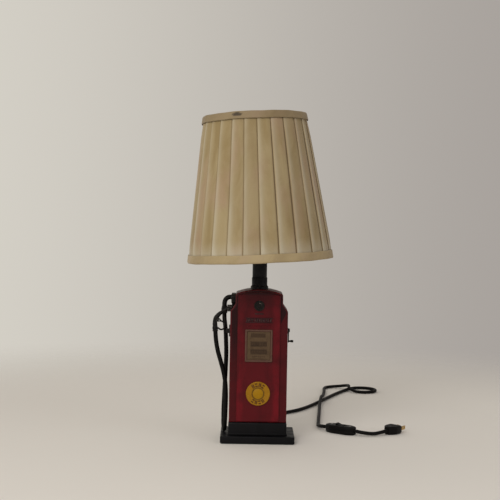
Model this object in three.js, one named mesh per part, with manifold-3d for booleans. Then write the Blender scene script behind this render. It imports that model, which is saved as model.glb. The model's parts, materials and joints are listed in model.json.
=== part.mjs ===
// Table lamp whose body is a miniature vintage fuel pump, with a pleated shade and a mains cord.
// Millimetres, +Z up, front towards -Y. The origin is the centre of the felt pad's underside.

import * as THREE from "three";
import { mergeVertices } from "three/addons/utils/BufferGeometryUtils.js";
import Module from "manifold-3d";

const wasm = await Module();
wasm.setup();

// ---------- driving dimensions ----------

const GAP = 0.3; // clearance between pieces that touch

const PAD = { width: 112.6, depth: 78, top: 1, corner: 3 };
const SLAB = { width: 116, depth: 81, bottom: 1.3, top: 12, corner: 2 };
const SKIRT = { width: 91.6, depth: 60.6, bottom: 12.3, top: 32, wall: 3 };

const CABINET = {
  halfWidth: 45,
  headHalfWidth: 37,
  halfDepth: 29.5,
  bottom: 32.3,
  shoulder: 206,
  headBottom: 217,
  headSideTop: 229.5,
  cornerX: 33,
  domeTop: 240,
  domeRadius: 99.3,
  wall: 3,
};
const LUG = { x: 37, width: 10, bore: 1.9, blindBore: 1.7, top: 46 };
const COVER = { inset: 1.5, bottom: 34, front: 29.8, back: 31.8 };
const POST = { x: 36.5, size: 8, front: 14, lowZ: 52, highZ: 196, bore: 1.7 };

const PANEL = { halfWidth: 33.5, bottom: 34, sideTop: 228.5, domeInset: 3.5, front: -31.4, back: -29.8 };
const TRIM_BACK = -31.7; // the trim on the front panel stands forward from here
const PRICE = { width: 42.6, bottom: 127.4, top: 178, border: 3.2, proud: 1.9 };
const NAME_BAR = { width: 44, height: 7.6, z: 192.5, proud: 1.2 };
const UPPER_BADGE = { radius: 8, z: 215, proud: 1.9 };
const LOWER_BADGE = { radius: 18.8, z: 78, proud: 1.8 };

const FLANGE = { bottom: 236, top: 245, radius: 14, collarRadius: 12.25, collarTop: 257.6 };
const NECK = { radius: 11.5, bore: 9.6, bottom: 257.9, top: 292 };
const PIPE = { radius: 4.8, bore: 3.2, bottom: 214, top: 299 };
const PIPE_HOLE = 5.2; // clearance hole for the lamp pipe
const PIPE_NUT = { radius: 8.5, bottom: 229.5, top: 236.4 };
const SADDLE = { halfWidth: 26, thickness: 1.6, depth: 12, bottom: 292.3, armTop: 309 };
const SADDLE_NUT = { radius: 8.5, bottom: 294.2, top: 297.2 };

const SHADE_TILT = THREE.MathUtils.degToRad(3.2); // the shade leans to the left on its loose harp
const TILT_Z = 295;
const HARP = { foot: 30.2, footZ: 299, belly: 54, bellyZ: 400, top: 495.7, wire: 2 };
const HARP_SEAT = { radius: 5.5, bottom: 497.1, top: 499.3, thread: 2.9, threadTop: 510.2 };
const FINIAL = { radius: 6.4, bottom: 501.6, top: 518.7, bore: 3.3, boreTop: 511.7 };
const SHADE = { top: 512.7, bottom: 284.8, topRadius: 79.8, bottomRadius: 113.4, thickness: 1.7 };
const RING = { wire: 1.3, topZ: 510.7, bottomZ: 286.9 };
const HUB = { radius: 8.5, bore: 3.3, bottom: 499.6, top: 501.3 };
const SPIDER_ARMS = 3;

const SOCKET = { bottom: 297.5, capTop: 316, shellTop: 352, capRadius: 19, neckRadius: 9, wall: 1.3 };
const BULB = { baseRadius: 13, baseBottom: 324, glassBottom: 352.4, glassRadius: 30, glassTop: 452 };

const CRANK = { z: 174, shaft: 2.53, bore: 2.62, grip: 157, armIn: 46.4, armOut: 48, hub: 3.6, tip: 2.2 };

const NOZZLE_Y = -14; // plane of the nozzle and the hose's front run
const OUTLET_Y = 14; // plane of the outlet elbow and the hose's rear run
const HOSE_RADIUS = 3.5;
const PIN = { x: -62.3, z: 190.3, radius: 1, bore: 1.15 };

const CORD_RADIUS = 3;
const FLOOR_Z = CORD_RADIUS + 0.4; // centre height of the cord where it lies on the table
const RELIEF = { z: 21, length: 24.5 };
const COIL = { y: 136, inner: 26.5, outer: 39.3, bottom: 1.2, top: 13.2 };
const SWITCH = { x: 138, y: 55, heading: -35, length: 52, width: 21, bottom: 0.3, top: 13.6 };
const PLUG = { x: 212.8, y: 47.2, heading: 50, length: 28, width: 24, bottom: 0.3, top: 13.7 };
const BLADE = { spacing: 12.7, width: 6.3, thickness: 1.5, length: 17.5 };
const LEAD_Z = 7; // centre height of the cord where it enters the switch and the plug

// ---------- materials ----------

const finish = (color, roughness, metalness = 0) =>
  new THREE.MeshStandardMaterial({ color, roughness, metalness });

const FINISH = {
  felt: () => finish(0x1c2a20, 0.95),
  blackPaint: () => finish(0x14151a, 0.45),
  redPaint: () => finish(0x6e1016, 0.4),
  cream: () => finish(0x8f8466, 0.6),
  yellow: () => finish(0xd9a514, 0.45),
  darkMetal: () => finish(0x1d2422, 0.4, 0.6),
  steel: () => finish(0x9a9a98, 0.35, 1),
  brass: () => finish(0xb08a45, 0.35, 1),
  glass: () => finish(0xf4f0e6, 0.25),
  fabric: () => finish(0xcbb98f, 0.8),
  rubber: () => finish(0x0d0e10, 0.55),
  plastic: () => finish(0x101113, 0.4),
};

// ---------- geometry helpers ----------

// One clean closed mesh: shared corners merged, slivers dropped, faces pointing out.
function closed(geometry) {
  const bare = new THREE.BufferGeometry();
  bare.setAttribute("position", geometry.getAttribute("position").clone());
  if (geometry.index) bare.setIndex(geometry.index.clone());
  const merged = mergeVertices(bare, 1e-4);
  const corners = merged.index.array;
  const position = merged.getAttribute("position");
  const kept = [];
  const a = new THREE.Vector3();
  const b = new THREE.Vector3();
  const c = new THREE.Vector3();
  let volume = 0;
  for (let i = 0; i < corners.length; i += 3) {
    const [p, q, r] = [corners[i], corners[i + 1], corners[i + 2]];
    if (p === q || q === r || r === p) continue;
    kept.push(p, q, r);
    a.fromBufferAttribute(position, p);
    b.fromBufferAttribute(position, q);
    c.fromBufferAttribute(position, r);
    volume += a.dot(b.cross(c));
  }
  if (volume < 0) kept.reverse();
  merged.setIndex(kept);
  merged.computeVertexNormals();
  return merged;
}

function toSolid(geometry) {
  const clean = closed(geometry);
  const vertProperties = new Float32Array(clean.getAttribute("position").array);
  const triVerts = new Uint32Array(clean.index.array);
  return new wasm.Manifold(new wasm.Mesh({ numProp: 3, vertProperties, triVerts }));
}

function fromSolid(solid) {
  const mesh = solid.getMesh();
  const geometry = new THREE.BufferGeometry();
  geometry.setAttribute("position", new THREE.Float32BufferAttribute(mesh.vertProperties, 3));
  geometry.setIndex(new THREE.Uint32BufferAttribute(mesh.triVerts, 1));
  return geometry;
}

function cut(body, ...tools) {
  return fromSolid(tools.reduce((solid, tool) => solid.subtract(toSolid(tool)), toSolid(body)));
}

function join(...bodies) {
  return fromSolid(bodies.map(toSolid).reduce((solid, other) => solid.add(other)));
}

function box([x0, x1], [y0, y1], [z0, z1]) {
  const geometry = new THREE.BoxGeometry(x1 - x0, y1 - y0, z1 - z0);
  return geometry.translate((x0 + x1) / 2, (y0 + y1) / 2, (z0 + z1) / 2);
}

// Straight round rod, or a hexagon when it has 6 sides.
function rod(from, to, radius, sides = 16) {
  const start = new THREE.Vector3(...from);
  const along = new THREE.Vector3(...to).sub(start);
  const geometry = new THREE.CylinderGeometry(radius, radius, along.length(), sides);
  const turn = new THREE.Quaternion().setFromUnitVectors(
    new THREE.Vector3(0, 1, 0),
    along.clone().normalize(),
  );
  return geometry.applyQuaternion(turn).translate(...start.addScaledVector(along, 0.5).toArray());
}

// A profile of [radius, height] points turned about Z.
function turned(profile, sides = 24) {
  const points = profile.map(([radius, height]) => new THREE.Vector2(radius, height));
  return new THREE.LatheGeometry(points, sides).rotateX(Math.PI / 2);
}

// A closed ring of square-ended profile [inner, outer] x [bottom, top] about Z.
function ring(inner, outer, bottom, top, sides = 24) {
  return turned([[inner, bottom], [outer, bottom], [outer, top], [inner, top], [inner, bottom]], sides);
}

// Outline in X and Z, extruded from front to back.
function plateXZ(shape, front, back, curveSegments = 10) {
  const geometry = new THREE.ExtrudeGeometry(shape, {
    depth: back - front,
    bevelEnabled: false,
    curveSegments,
  });
  return geometry.rotateX(Math.PI / 2).translate(0, back, 0);
}

// Outline in X and Y, extruded upwards.
function plateXY(shape, bottom, top, curveSegments = 6) {
  const geometry = new THREE.ExtrudeGeometry(shape, {
    depth: top - bottom,
    bevelEnabled: false,
    curveSegments,
  });
  return geometry.translate(0, 0, bottom);
}

// Outline in Y and Z, extruded along X.
function plateYZ(shape, left, right, curveSegments = 8) {
  const geometry = new THREE.ExtrudeGeometry(shape, {
    depth: right - left,
    bevelEnabled: false,
    curveSegments,
  });
  const axes = new THREE.Matrix4().makeBasis(
    new THREE.Vector3(0, 1, 0),
    new THREE.Vector3(0, 0, 1),
    new THREE.Vector3(1, 0, 0),
  );
  return geometry.applyMatrix4(axes).translate(left, 0, 0);
}

// Round bar swept along a smooth curve through the points.
function sweep(points, radius, steps, sides = 10) {
  const path = new THREE.CatmullRomCurve3(points.map((point) => new THREE.Vector3(...point)));
  const section = new THREE.Shape();
  for (let i = 0; i < sides; i++) {
    const angle = (i / sides) * 2 * Math.PI;
    const [x, y] = [radius * Math.cos(angle), radius * Math.sin(angle)];
    if (i === 0) section.moveTo(x, y);
    else section.lineTo(x, y);
  }
  section.closePath();
  return new THREE.ExtrudeGeometry(section, { steps, bevelEnabled: false, extrudePath: path });
}

function roundedRectangle(width, height, radius) {
  const [x, y] = [width / 2, height / 2];
  const shape = new THREE.Shape();
  shape.moveTo(-x + radius, -y);
  shape.lineTo(x - radius, -y);
  shape.quadraticCurveTo(x, -y, x, -y + radius);
  shape.lineTo(x, y - radius);
  shape.quadraticCurveTo(x, y, x - radius, y);
  shape.lineTo(-x + radius, y);
  shape.quadraticCurveTo(-x, y, -x, y - radius);
  shape.lineTo(-x, -y + radius);
  shape.quadraticCurveTo(-x, -y, -x + radius, -y);
  return shape;
}

const domeHeight = (x, inset) => {
  const radius = CABINET.domeRadius - inset;
  return CABINET.domeTop - CABINET.domeRadius + Math.sqrt(radius * radius - x * x);
};

// The cabinet's front outline, moved inwards by the inset: a box with sloped shoulders and a domed head.
function cabinetOutline(inset, bottom) {
  const side = CABINET.halfWidth - inset;
  const head = CABINET.headHalfWidth - inset;
  const cornerX = CABINET.cornerX - inset * 0.9;
  const cornerZ = domeHeight(cornerX, inset);
  const slopeDrop = inset * 0.325;
  const shape = new THREE.Shape();
  shape.moveTo(-side, bottom);
  shape.lineTo(side, bottom);
  shape.lineTo(side, CABINET.shoulder - slopeDrop);
  shape.lineTo(head, CABINET.headBottom - slopeDrop);
  shape.lineTo(head, CABINET.headSideTop - inset);
  shape.quadraticCurveTo(head, cornerZ - 0.7, cornerX, cornerZ);
  addDome(shape, cornerX, inset);
  shape.quadraticCurveTo(-head, cornerZ - 0.7, -head, CABINET.headSideTop - inset);
  shape.lineTo(-head, CABINET.headBottom - slopeDrop);
  shape.lineTo(-side, CABINET.shoulder - slopeDrop);
  shape.closePath();
  return shape;
}

function addDome(shape, halfWidth, inset) {
  const steps = 10;
  for (let i = 1; i <= steps; i++) {
    const x = halfWidth * (1 - (2 * i) / steps);
    shape.lineTo(x, domeHeight(x, inset));
  }
}

// ---------- scene graph ----------

const lamp = new THREE.Group();
const leaningShade = new THREE.Group();
leaningShade.position.z = TILT_Z;
leaningShade.rotation.y = -SHADE_TILT;
lamp.add(leaningShade);

function add(name, geometry, material, group = lamp) {
  const mesh = new THREE.Mesh(closed(geometry), material);
  mesh.name = name;
  if (group === leaningShade) mesh.geometry.translate(0, 0, -TILT_Z);
  group.add(mesh);
  return mesh;
}

// Moves a piece built along +X at the table's origin to where it lies, turned to its heading.
function lay(geometry, { x, y, heading }) {
  return geometry.rotateZ(THREE.MathUtils.degToRad(heading)).translate(x, y, 0);
}

// ---------- base ----------

function addBase() {
  const padOutline = roundedRectangle(PAD.width, PAD.depth, PAD.corner);
  add("felt_pad", plateXY(padOutline, 0, PAD.top, 4), FINISH.felt());

  const screwX = [-LUG.x, LUG.x];
  const slabOutline = roundedRectangle(SLAB.width, SLAB.depth, SLAB.corner);
  const screwHoles = screwX.map((x) => rod([x, 0, SLAB.bottom - 1], [x, 0, SLAB.top + 1], LUG.bore));
  const headPockets = screwX.map((x) => rod([x, 0, SLAB.bottom - 1], [x, 0, 6], 4.2));
  const slab = cut(plateXY(slabOutline, SLAB.bottom, SLAB.top, 3), ...screwHoles, ...headPockets);
  add("base_slab", slab, FINISH.blackPaint());

  const [halfX, halfY] = [SKIRT.width / 2, SKIRT.depth / 2];
  const inside = box(
    [-halfX + SKIRT.wall, halfX - SKIRT.wall],
    [-halfY + SKIRT.wall, halfY - SKIRT.wall],
    [SKIRT.bottom - 1, SKIRT.top + 1],
  );
  const frame = cut(box([-halfX, halfX], [-halfY, halfY], [SKIRT.bottom, SKIRT.top]), inside);
  const lugs = screwX.map((x) => lugBlock(x, halfX - 1, SKIRT.bottom, SKIRT.top));
  const lugHoles = screwX.map((x) => rod([x, 0, SKIRT.bottom - 1], [x, 0, SKIRT.top + 1], LUG.bore));
  const cordHole = rod([0, halfY - 5, RELIEF.z], [0, halfY + 1, RELIEF.z], 4.9);
  add("base_skirt", cut(join(frame, ...lugs), ...lugHoles, cordHole), FINISH.blackPaint());

  screwX.forEach((x, i) => {
    const screw = turned([[0, 3], [3.6, 3], [3.6, 5.2], [1.4, 5.7], [1.4, 42], [0, 43]], 12);
    add(["base_screw_left", "base_screw_right"][i], screw.translate(x, 0, 0), FINISH.steel());
  });
}

// A screw lug standing inwards from the side wall.
function lugBlock(x, outerX, bottom, top) {
  const half = LUG.width / 2;
  const span = x < 0 ? [-outerX, x + half] : [x - half, outerX];
  return box(span, [-half, half], [bottom, top]);
}

// ---------- cabinet ----------

function addCabinet() {
  const outer = plateXZ(cabinetOutline(0, CABINET.bottom), -CABINET.halfDepth, CABINET.halfDepth);
  const inner = plateXZ(
    cabinetOutline(CABINET.wall, CABINET.bottom - 1),
    -CABINET.halfDepth + CABINET.wall,
    CABINET.halfDepth + 1,
  );
  const wallX = CABINET.halfWidth - 1;
  const posts = postPlaces().map(([x, z]) => {
    const span = x < 0 ? [-wallX, x + POST.size / 2] : [x - POST.size / 2, wallX];
    const rise = [z - POST.size / 2, z + POST.size / 2];
    return box(span, [POST.front, CABINET.halfDepth], rise);
  });
  const lugs = [-LUG.x, LUG.x].map((x) => lugBlock(x, wallX, CABINET.bottom, LUG.top));
  const postHoles = postPlaces().map(([x, z]) => rod([x, 16, z], [x, 31, z], POST.bore, 12));
  const lugHoles = [-LUG.x, LUG.x].map((x) => rod([x, 0, 31], [x, 0, 44.5], LUG.blindBore, 12));
  const pipeHole = rod([0, 0, 230], [0, 0, 242], PIPE_HOLE);
  const crankHole = rod([40, 0, CRANK.z], [46, 0, CRANK.z], 4.4);
  const shell = cut(
    join(cut(outer, inner), ...posts, ...lugs),
    ...postHoles,
    ...lugHoles,
    pipeHole,
    crankHole,
  );
  add("cabinet_shell", shell, FINISH.redPaint());

  const coverHoles = postPlaces().map(([x, z]) => rod([x, 29, z], [x, 33, z], POST.bore, 12));
  const coverPlate = plateXZ(cabinetOutline(COVER.inset, COVER.bottom), COVER.front, COVER.back);
  add("rear_cover", cut(coverPlate, ...coverHoles), FINISH.redPaint());

  postPlaces().forEach(([x, z], i) => {
    const screw = turned([[0, 0], [1.3, 0], [1.3, 13.6], [3.1, 13.6], [3.1, 14.6], [1.8, 15.6], [0, 15.6]], 12);
    screw.rotateX(-Math.PI / 2).translate(x, 18.5, z);
    add(`cover_screw_${i + 1}`, screw, FINISH.steel());
  });
}

function postPlaces() {
  return [
    [-POST.x, POST.lowZ],
    [POST.x, POST.lowZ],
    [-POST.x, POST.highZ],
    [POST.x, POST.highZ],
  ];
}

// ---------- trim on the front ----------

function addFrontTrim() {
  const outline = new THREE.Shape();
  outline.moveTo(-PANEL.halfWidth, PANEL.bottom);
  outline.lineTo(PANEL.halfWidth, PANEL.bottom);
  outline.lineTo(PANEL.halfWidth, PANEL.sideTop);
  addDome(outline, PANEL.halfWidth - 1, PANEL.domeInset);
  outline.lineTo(-PANEL.halfWidth, PANEL.sideTop);
  outline.closePath();
  add("front_panel", plateXZ(outline, PANEL.front, PANEL.back), FINISH.redPaint());

  const [height, middle] = [PRICE.top - PRICE.bottom, (PRICE.top + PRICE.bottom) / 2];
  const frame = roundedRectangle(PRICE.width, height, 1);
  const [openWidth, openHeight] = [PRICE.width - 2 * PRICE.border, height - 2 * PRICE.border];
  const opening = roundedRectangle(openWidth, openHeight, 0.5);
  const bezel = cut(
    plateXZ(frame, TRIM_BACK - PRICE.proud, TRIM_BACK, 2),
    plateXZ(opening, TRIM_BACK - PRICE.proud - 1, TRIM_BACK + 1, 2),
  );
  add("price_bezel", bezel.translate(0, 0, middle), FINISH.cream());
  const card = roundedRectangle(openWidth - 2 * GAP, openHeight - 2 * GAP, 0.5);
  add("price_plate", plateXZ(card, TRIM_BACK - 1, TRIM_BACK, 2).translate(0, 0, middle), FINISH.cream());

  const bar = roundedRectangle(NAME_BAR.width, NAME_BAR.height, 2);
  const barPlate = plateXZ(bar, TRIM_BACK - NAME_BAR.proud, TRIM_BACK, 3);
  add("name_bar", barPlate.translate(0, 0, NAME_BAR.z), FINISH.blackPaint());

  addBadge("upper_badge", UPPER_BADGE, FINISH.darkMetal(), 24);
  addBadge("lower_badge", LOWER_BADGE, FINISH.yellow(), 36);

  const drop = new THREE.Shape();
  drop.moveTo(0, 4.6);
  drop.quadraticCurveTo(3.2, 0.4, 2.7, -1.4);
  drop.quadraticCurveTo(1.9, -3.9, 0, -3.9);
  drop.quadraticCurveTo(-1.9, -3.9, -2.7, -1.4);
  drop.quadraticCurveTo(-3.2, 0.4, 0, 4.6);
  const face = TRIM_BACK - UPPER_BADGE.proud - GAP;
  add("badge_drop", plateXZ(drop, face - 0.8, face, 4).translate(0, 0, UPPER_BADGE.z), FINISH.steel());
}

function addBadge(name, badge, material, sides) {
  const disc = rod([0, TRIM_BACK - badge.proud, badge.z], [0, TRIM_BACK, badge.z], badge.radius, sides);
  add(name, disc, material);
}

// ---------- neck, harp saddle, socket and bulb ----------

function addNeck() {
  const flange = turned([
    [PIPE_HOLE, FLANGE.bottom],
    [FLANGE.radius, FLANGE.bottom],
    [FLANGE.radius, FLANGE.top - 1.5],
    [FLANGE.collarRadius, FLANGE.top],
    [FLANGE.collarRadius, FLANGE.collarTop],
    [PIPE_HOLE, FLANGE.collarTop],
    [PIPE_HOLE, FLANGE.bottom],
  ]);
  const domeBelow = plateXZ(cabinetOutline(-GAP, 200), -40, 40);
  add("neck_flange", cut(flange, domeBelow), FINISH.blackPaint());
  add("neck_tube", ring(NECK.bore, NECK.radius, NECK.bottom, NECK.top), FINISH.blackPaint());
  add("lamp_pipe", ring(PIPE.bore, PIPE.radius, PIPE.bottom, PIPE.top, 16), FINISH.brass());
  add("pipe_nut", nut(PIPE_NUT), FINISH.brass());

  const strip = new THREE.Shape();
  const [reach, floor] = [SADDLE.halfWidth, SADDLE.bottom];
  strip.moveTo(-reach + 3, floor);
  strip.lineTo(reach - 3, floor);
  strip.lineTo(reach, floor + 4);
  strip.lineTo(reach, SADDLE.armTop);
  strip.lineTo(reach - SADDLE.thickness, SADDLE.armTop);
  strip.lineTo(reach - SADDLE.thickness, floor + 4);
  strip.lineTo(reach - 4, floor + SADDLE.thickness);
  strip.lineTo(-reach + 4, floor + SADDLE.thickness);
  strip.lineTo(-reach + SADDLE.thickness, floor + 4);
  strip.lineTo(-reach + SADDLE.thickness, SADDLE.armTop);
  strip.lineTo(-reach, SADDLE.armTop);
  strip.lineTo(-reach, floor + 4);
  strip.closePath();
  const half = SADDLE.depth / 2;
  const hole = rod([0, 0, floor - 1], [0, 0, floor + 3], PIPE_HOLE);
  add("harp_saddle", cut(plateXZ(strip, -half, half), hole), FINISH.brass());
  add("saddle_nut", nut(SADDLE_NUT), FINISH.brass());
}

function nut({ radius, bottom, top }) {
  const hole = rod([0, 0, bottom - 1], [0, 0, top + 1], PIPE_HOLE);
  return cut(rod([0, 0, bottom], [0, 0, top], radius, 6), hole);
}

function addSocketAndBulb() {
  const { bottom, capTop, shellTop, capRadius, neckRadius, wall } = SOCKET;
  const cap = turned([
    [PIPE_HOLE, bottom],
    [neckRadius, bottom],
    [neckRadius + 2, bottom + 4],
    [capRadius, bottom + 11],
    [capRadius, capTop],
    [capRadius - wall, capTop],
    [capRadius - wall, bottom + 12],
    [neckRadius, bottom + 5.5],
    [PIPE_HOLE, bottom + 4],
    [PIPE_HOLE, bottom],
  ]);
  add("socket_cap", cap, FINISH.brass());
  add("socket_shell", ring(capRadius - 2.4, capRadius - 0.6, capTop + GAP, shellTop), FINISH.brass());

  const base = turned([
    [0, BULB.baseBottom],
    [4, BULB.baseBottom],
    [8, BULB.baseBottom + 3],
    [BULB.baseRadius, BULB.baseBottom + 5],
    [BULB.baseRadius, BULB.glassBottom - GAP],
    [0, BULB.glassBottom - GAP],
  ]);
  add("bulb_base", base, FINISH.steel());
  const widest = BULB.glassTop - BULB.glassRadius;
  const profile = [[0, BULB.glassBottom], [13.4, BULB.glassBottom], [15, BULB.glassBottom + 12]];
  profile.push([21, BULB.glassBottom + 32], [28, widest - 18]);
  const capSteps = 6;
  for (let i = 0; i <= capSteps; i++) {
    const angle = (i / capSteps) * (Math.PI / 2);
    const radius = i === capSteps ? 0 : BULB.glassRadius * Math.cos(angle);
    profile.push([radius, widest + BULB.glassRadius * Math.sin(angle)]);
  }
  add("bulb_glass", turned(profile), FINISH.glass());

  const wire = [[0, 27, RELIEF.z], [0, 19, 22], [0, 10, 31], [0, 4, 52], [0, 1, 90], [0, 0, 150], [0, 0, 200]];
  wire.push([0, 0, 250], [0, 0, 300], [0, 0, 318]);
  add("inner_lead", sweep(wire, 2, 20, 6), FINISH.rubber());
}

// ---------- harp and shade, leaning together ----------

function addHarpAndShade() {
  const left = [[-HARP.foot, 0, HARP.footZ], [-HARP.foot - 2, 0, 316], [-HARP.belly + 6, 0, 356]];
  left.push([-HARP.belly, 0, HARP.bellyZ], [-HARP.belly + 5, 0, 444], [-36, 0, 474], [-15, 0, 493]);
  const right = left.map(([x, y, z]) => [-x, y, z]).reverse();
  const wire = sweep([...left, [0, 0, HARP.top], ...right], HARP.wire, 36, 6);
  const feet = [-HARP.foot, HARP.foot].map((x) => rod([x, 0, HARP.footZ - 2], [x, 0, 311], 3.1, 12));
  const seat = turned([
    [0, HARP.top - 1],
    [HARP_SEAT.radius, HARP_SEAT.bottom],
    [HARP_SEAT.radius, HARP_SEAT.top],
    [HARP_SEAT.thread, HARP_SEAT.top],
    [HARP_SEAT.thread, HARP_SEAT.threadTop],
    [0, HARP_SEAT.threadTop],
  ]);
  add("harp", join(wire, ...feet, seat), FINISH.brass(), leaningShade);

  const { top, bottom, topRadius, bottomRadius, thickness } = SHADE;
  const cone = turned(
    [
      [bottomRadius - thickness, bottom],
      [bottomRadius, bottom],
      [topRadius, top],
      [topRadius - thickness, top],
      [bottomRadius - thickness, bottom],
    ],
    48,
  );
  add("shade_fabric", cone, FINISH.fabric(), leaningShade);

  const slope = (bottomRadius - topRadius) / (top - bottom);
  const clearance = thickness + RING.wire + 2 * GAP;
  const ringRadius = (z) => bottomRadius - slope * (z - bottom) - clearance;
  const topRing = wireRing(ringRadius(RING.topZ), RING.topZ);
  const bottomRing = wireRing(ringRadius(RING.bottomZ), RING.bottomZ);
  add("shade_bottom_ring", bottomRing, FINISH.steel(), leaningShade);

  const arms = [];
  for (let i = 0; i < SPIDER_ARMS; i++) {
    const angle = Math.PI / 2 + (i / SPIDER_ARMS) * 2 * Math.PI;
    const at = (radius, z) => [radius * Math.cos(angle), radius * Math.sin(angle), z];
    arms.push(rod(at(HUB.radius - 2, HUB.bottom + 0.9), at(ringRadius(RING.topZ), RING.topZ), RING.wire, 6));
  }
  const hub = ring(HUB.bore, HUB.radius, HUB.bottom, HUB.top);
  const hubHole = rod([0, 0, HUB.bottom - 2], [0, 0, HUB.top + 2], HUB.bore, 24);
  add("shade_top_frame", join(topRing, cut(join(hub, ...arms), hubHole)), FINISH.steel(), leaningShade);

  const finial = turned([
    [FINIAL.bore, FINIAL.bottom],
    [FINIAL.radius - 1, FINIAL.bottom],
    [FINIAL.radius, FINIAL.bottom + 1.5],
    [FINIAL.radius - 1.4, FINIAL.bottom + 3],
    [FINIAL.radius - 1.6, FINIAL.bottom + 6],
    [FINIAL.radius, FINIAL.bottom + 11],
    [FINIAL.radius - 2, FINIAL.top - 2],
    [0, FINIAL.top],
    [0, FINIAL.boreTop],
    [FINIAL.bore, FINIAL.boreTop],
    [FINIAL.bore, FINIAL.bottom],
  ]);
  add("finial", finial, FINISH.brass(), leaningShade);
}

function wireRing(radius, z) {
  const sides = 6;
  const profile = [];
  for (let i = 0; i <= sides; i++) {
    const angle = ((i % sides) / sides) * 2 * Math.PI;
    profile.push([radius + RING.wire * Math.cos(angle), z + RING.wire * Math.sin(angle)]);
  }
  return turned(profile, 36);
}

// ---------- crank ----------

function addCrank() {
  const along = (profile) => turned(profile, 24).rotateY(Math.PI / 2).translate(0, 0, CRANK.z);
  const bush = along([
    [CRANK.bore, 40.5],
    [4.1, 40.5],
    [4.1, 45.3],
    [5.6, 45.3],
    [5.6, 45.8],
    [5, 46.1],
    [CRANK.bore, 46.1],
    [CRANK.bore, 40.5],
  ]);
  add("crank_bush", bush, FINISH.darkMetal());
  const shaft = along([[0, 37.6], [4.6, 37.6], [4.6, 40.1], [CRANK.shaft, 40.1], [CRANK.shaft, 49.4], [0, 49.4]]);
  add("crank_shaft", shaft, FINISH.steel());

  const arm = new THREE.Shape();
  arm.moveTo(-CRANK.hub, CRANK.z);
  arm.lineTo(-CRANK.tip, CRANK.grip);
  arm.absarc(0, CRANK.grip, CRANK.tip, Math.PI, 2 * Math.PI);
  arm.lineTo(CRANK.hub, CRANK.z);
  arm.absarc(0, CRANK.z, CRANK.hub, 0, Math.PI);
  const shaftHole = rod([46, 0, CRANK.z], [52, 0, CRANK.z], CRANK.shaft + GAP);
  const pinHole = rod([46, 0, CRANK.grip], [52, 0, CRANK.grip], 1.2, 12);
  const armPlate = plateYZ(arm, CRANK.armIn, CRANK.armOut);
  add("crank_arm", cut(armPlate, shaftHole, pinHole), FINISH.darkMetal());
  const grip = turned([[0, 46.5], [0.9, 46.5], [0.9, 48.3], [1.6, 48.3], [2, 51], [1.9, 54.4], [0, 55.2]], 16);
  grip.rotateY(Math.PI / 2).translate(0, 0, CRANK.grip);
  add("crank_grip", grip, FINISH.darkMetal());
}

// ---------- outlet, hose and nozzle ----------

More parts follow.
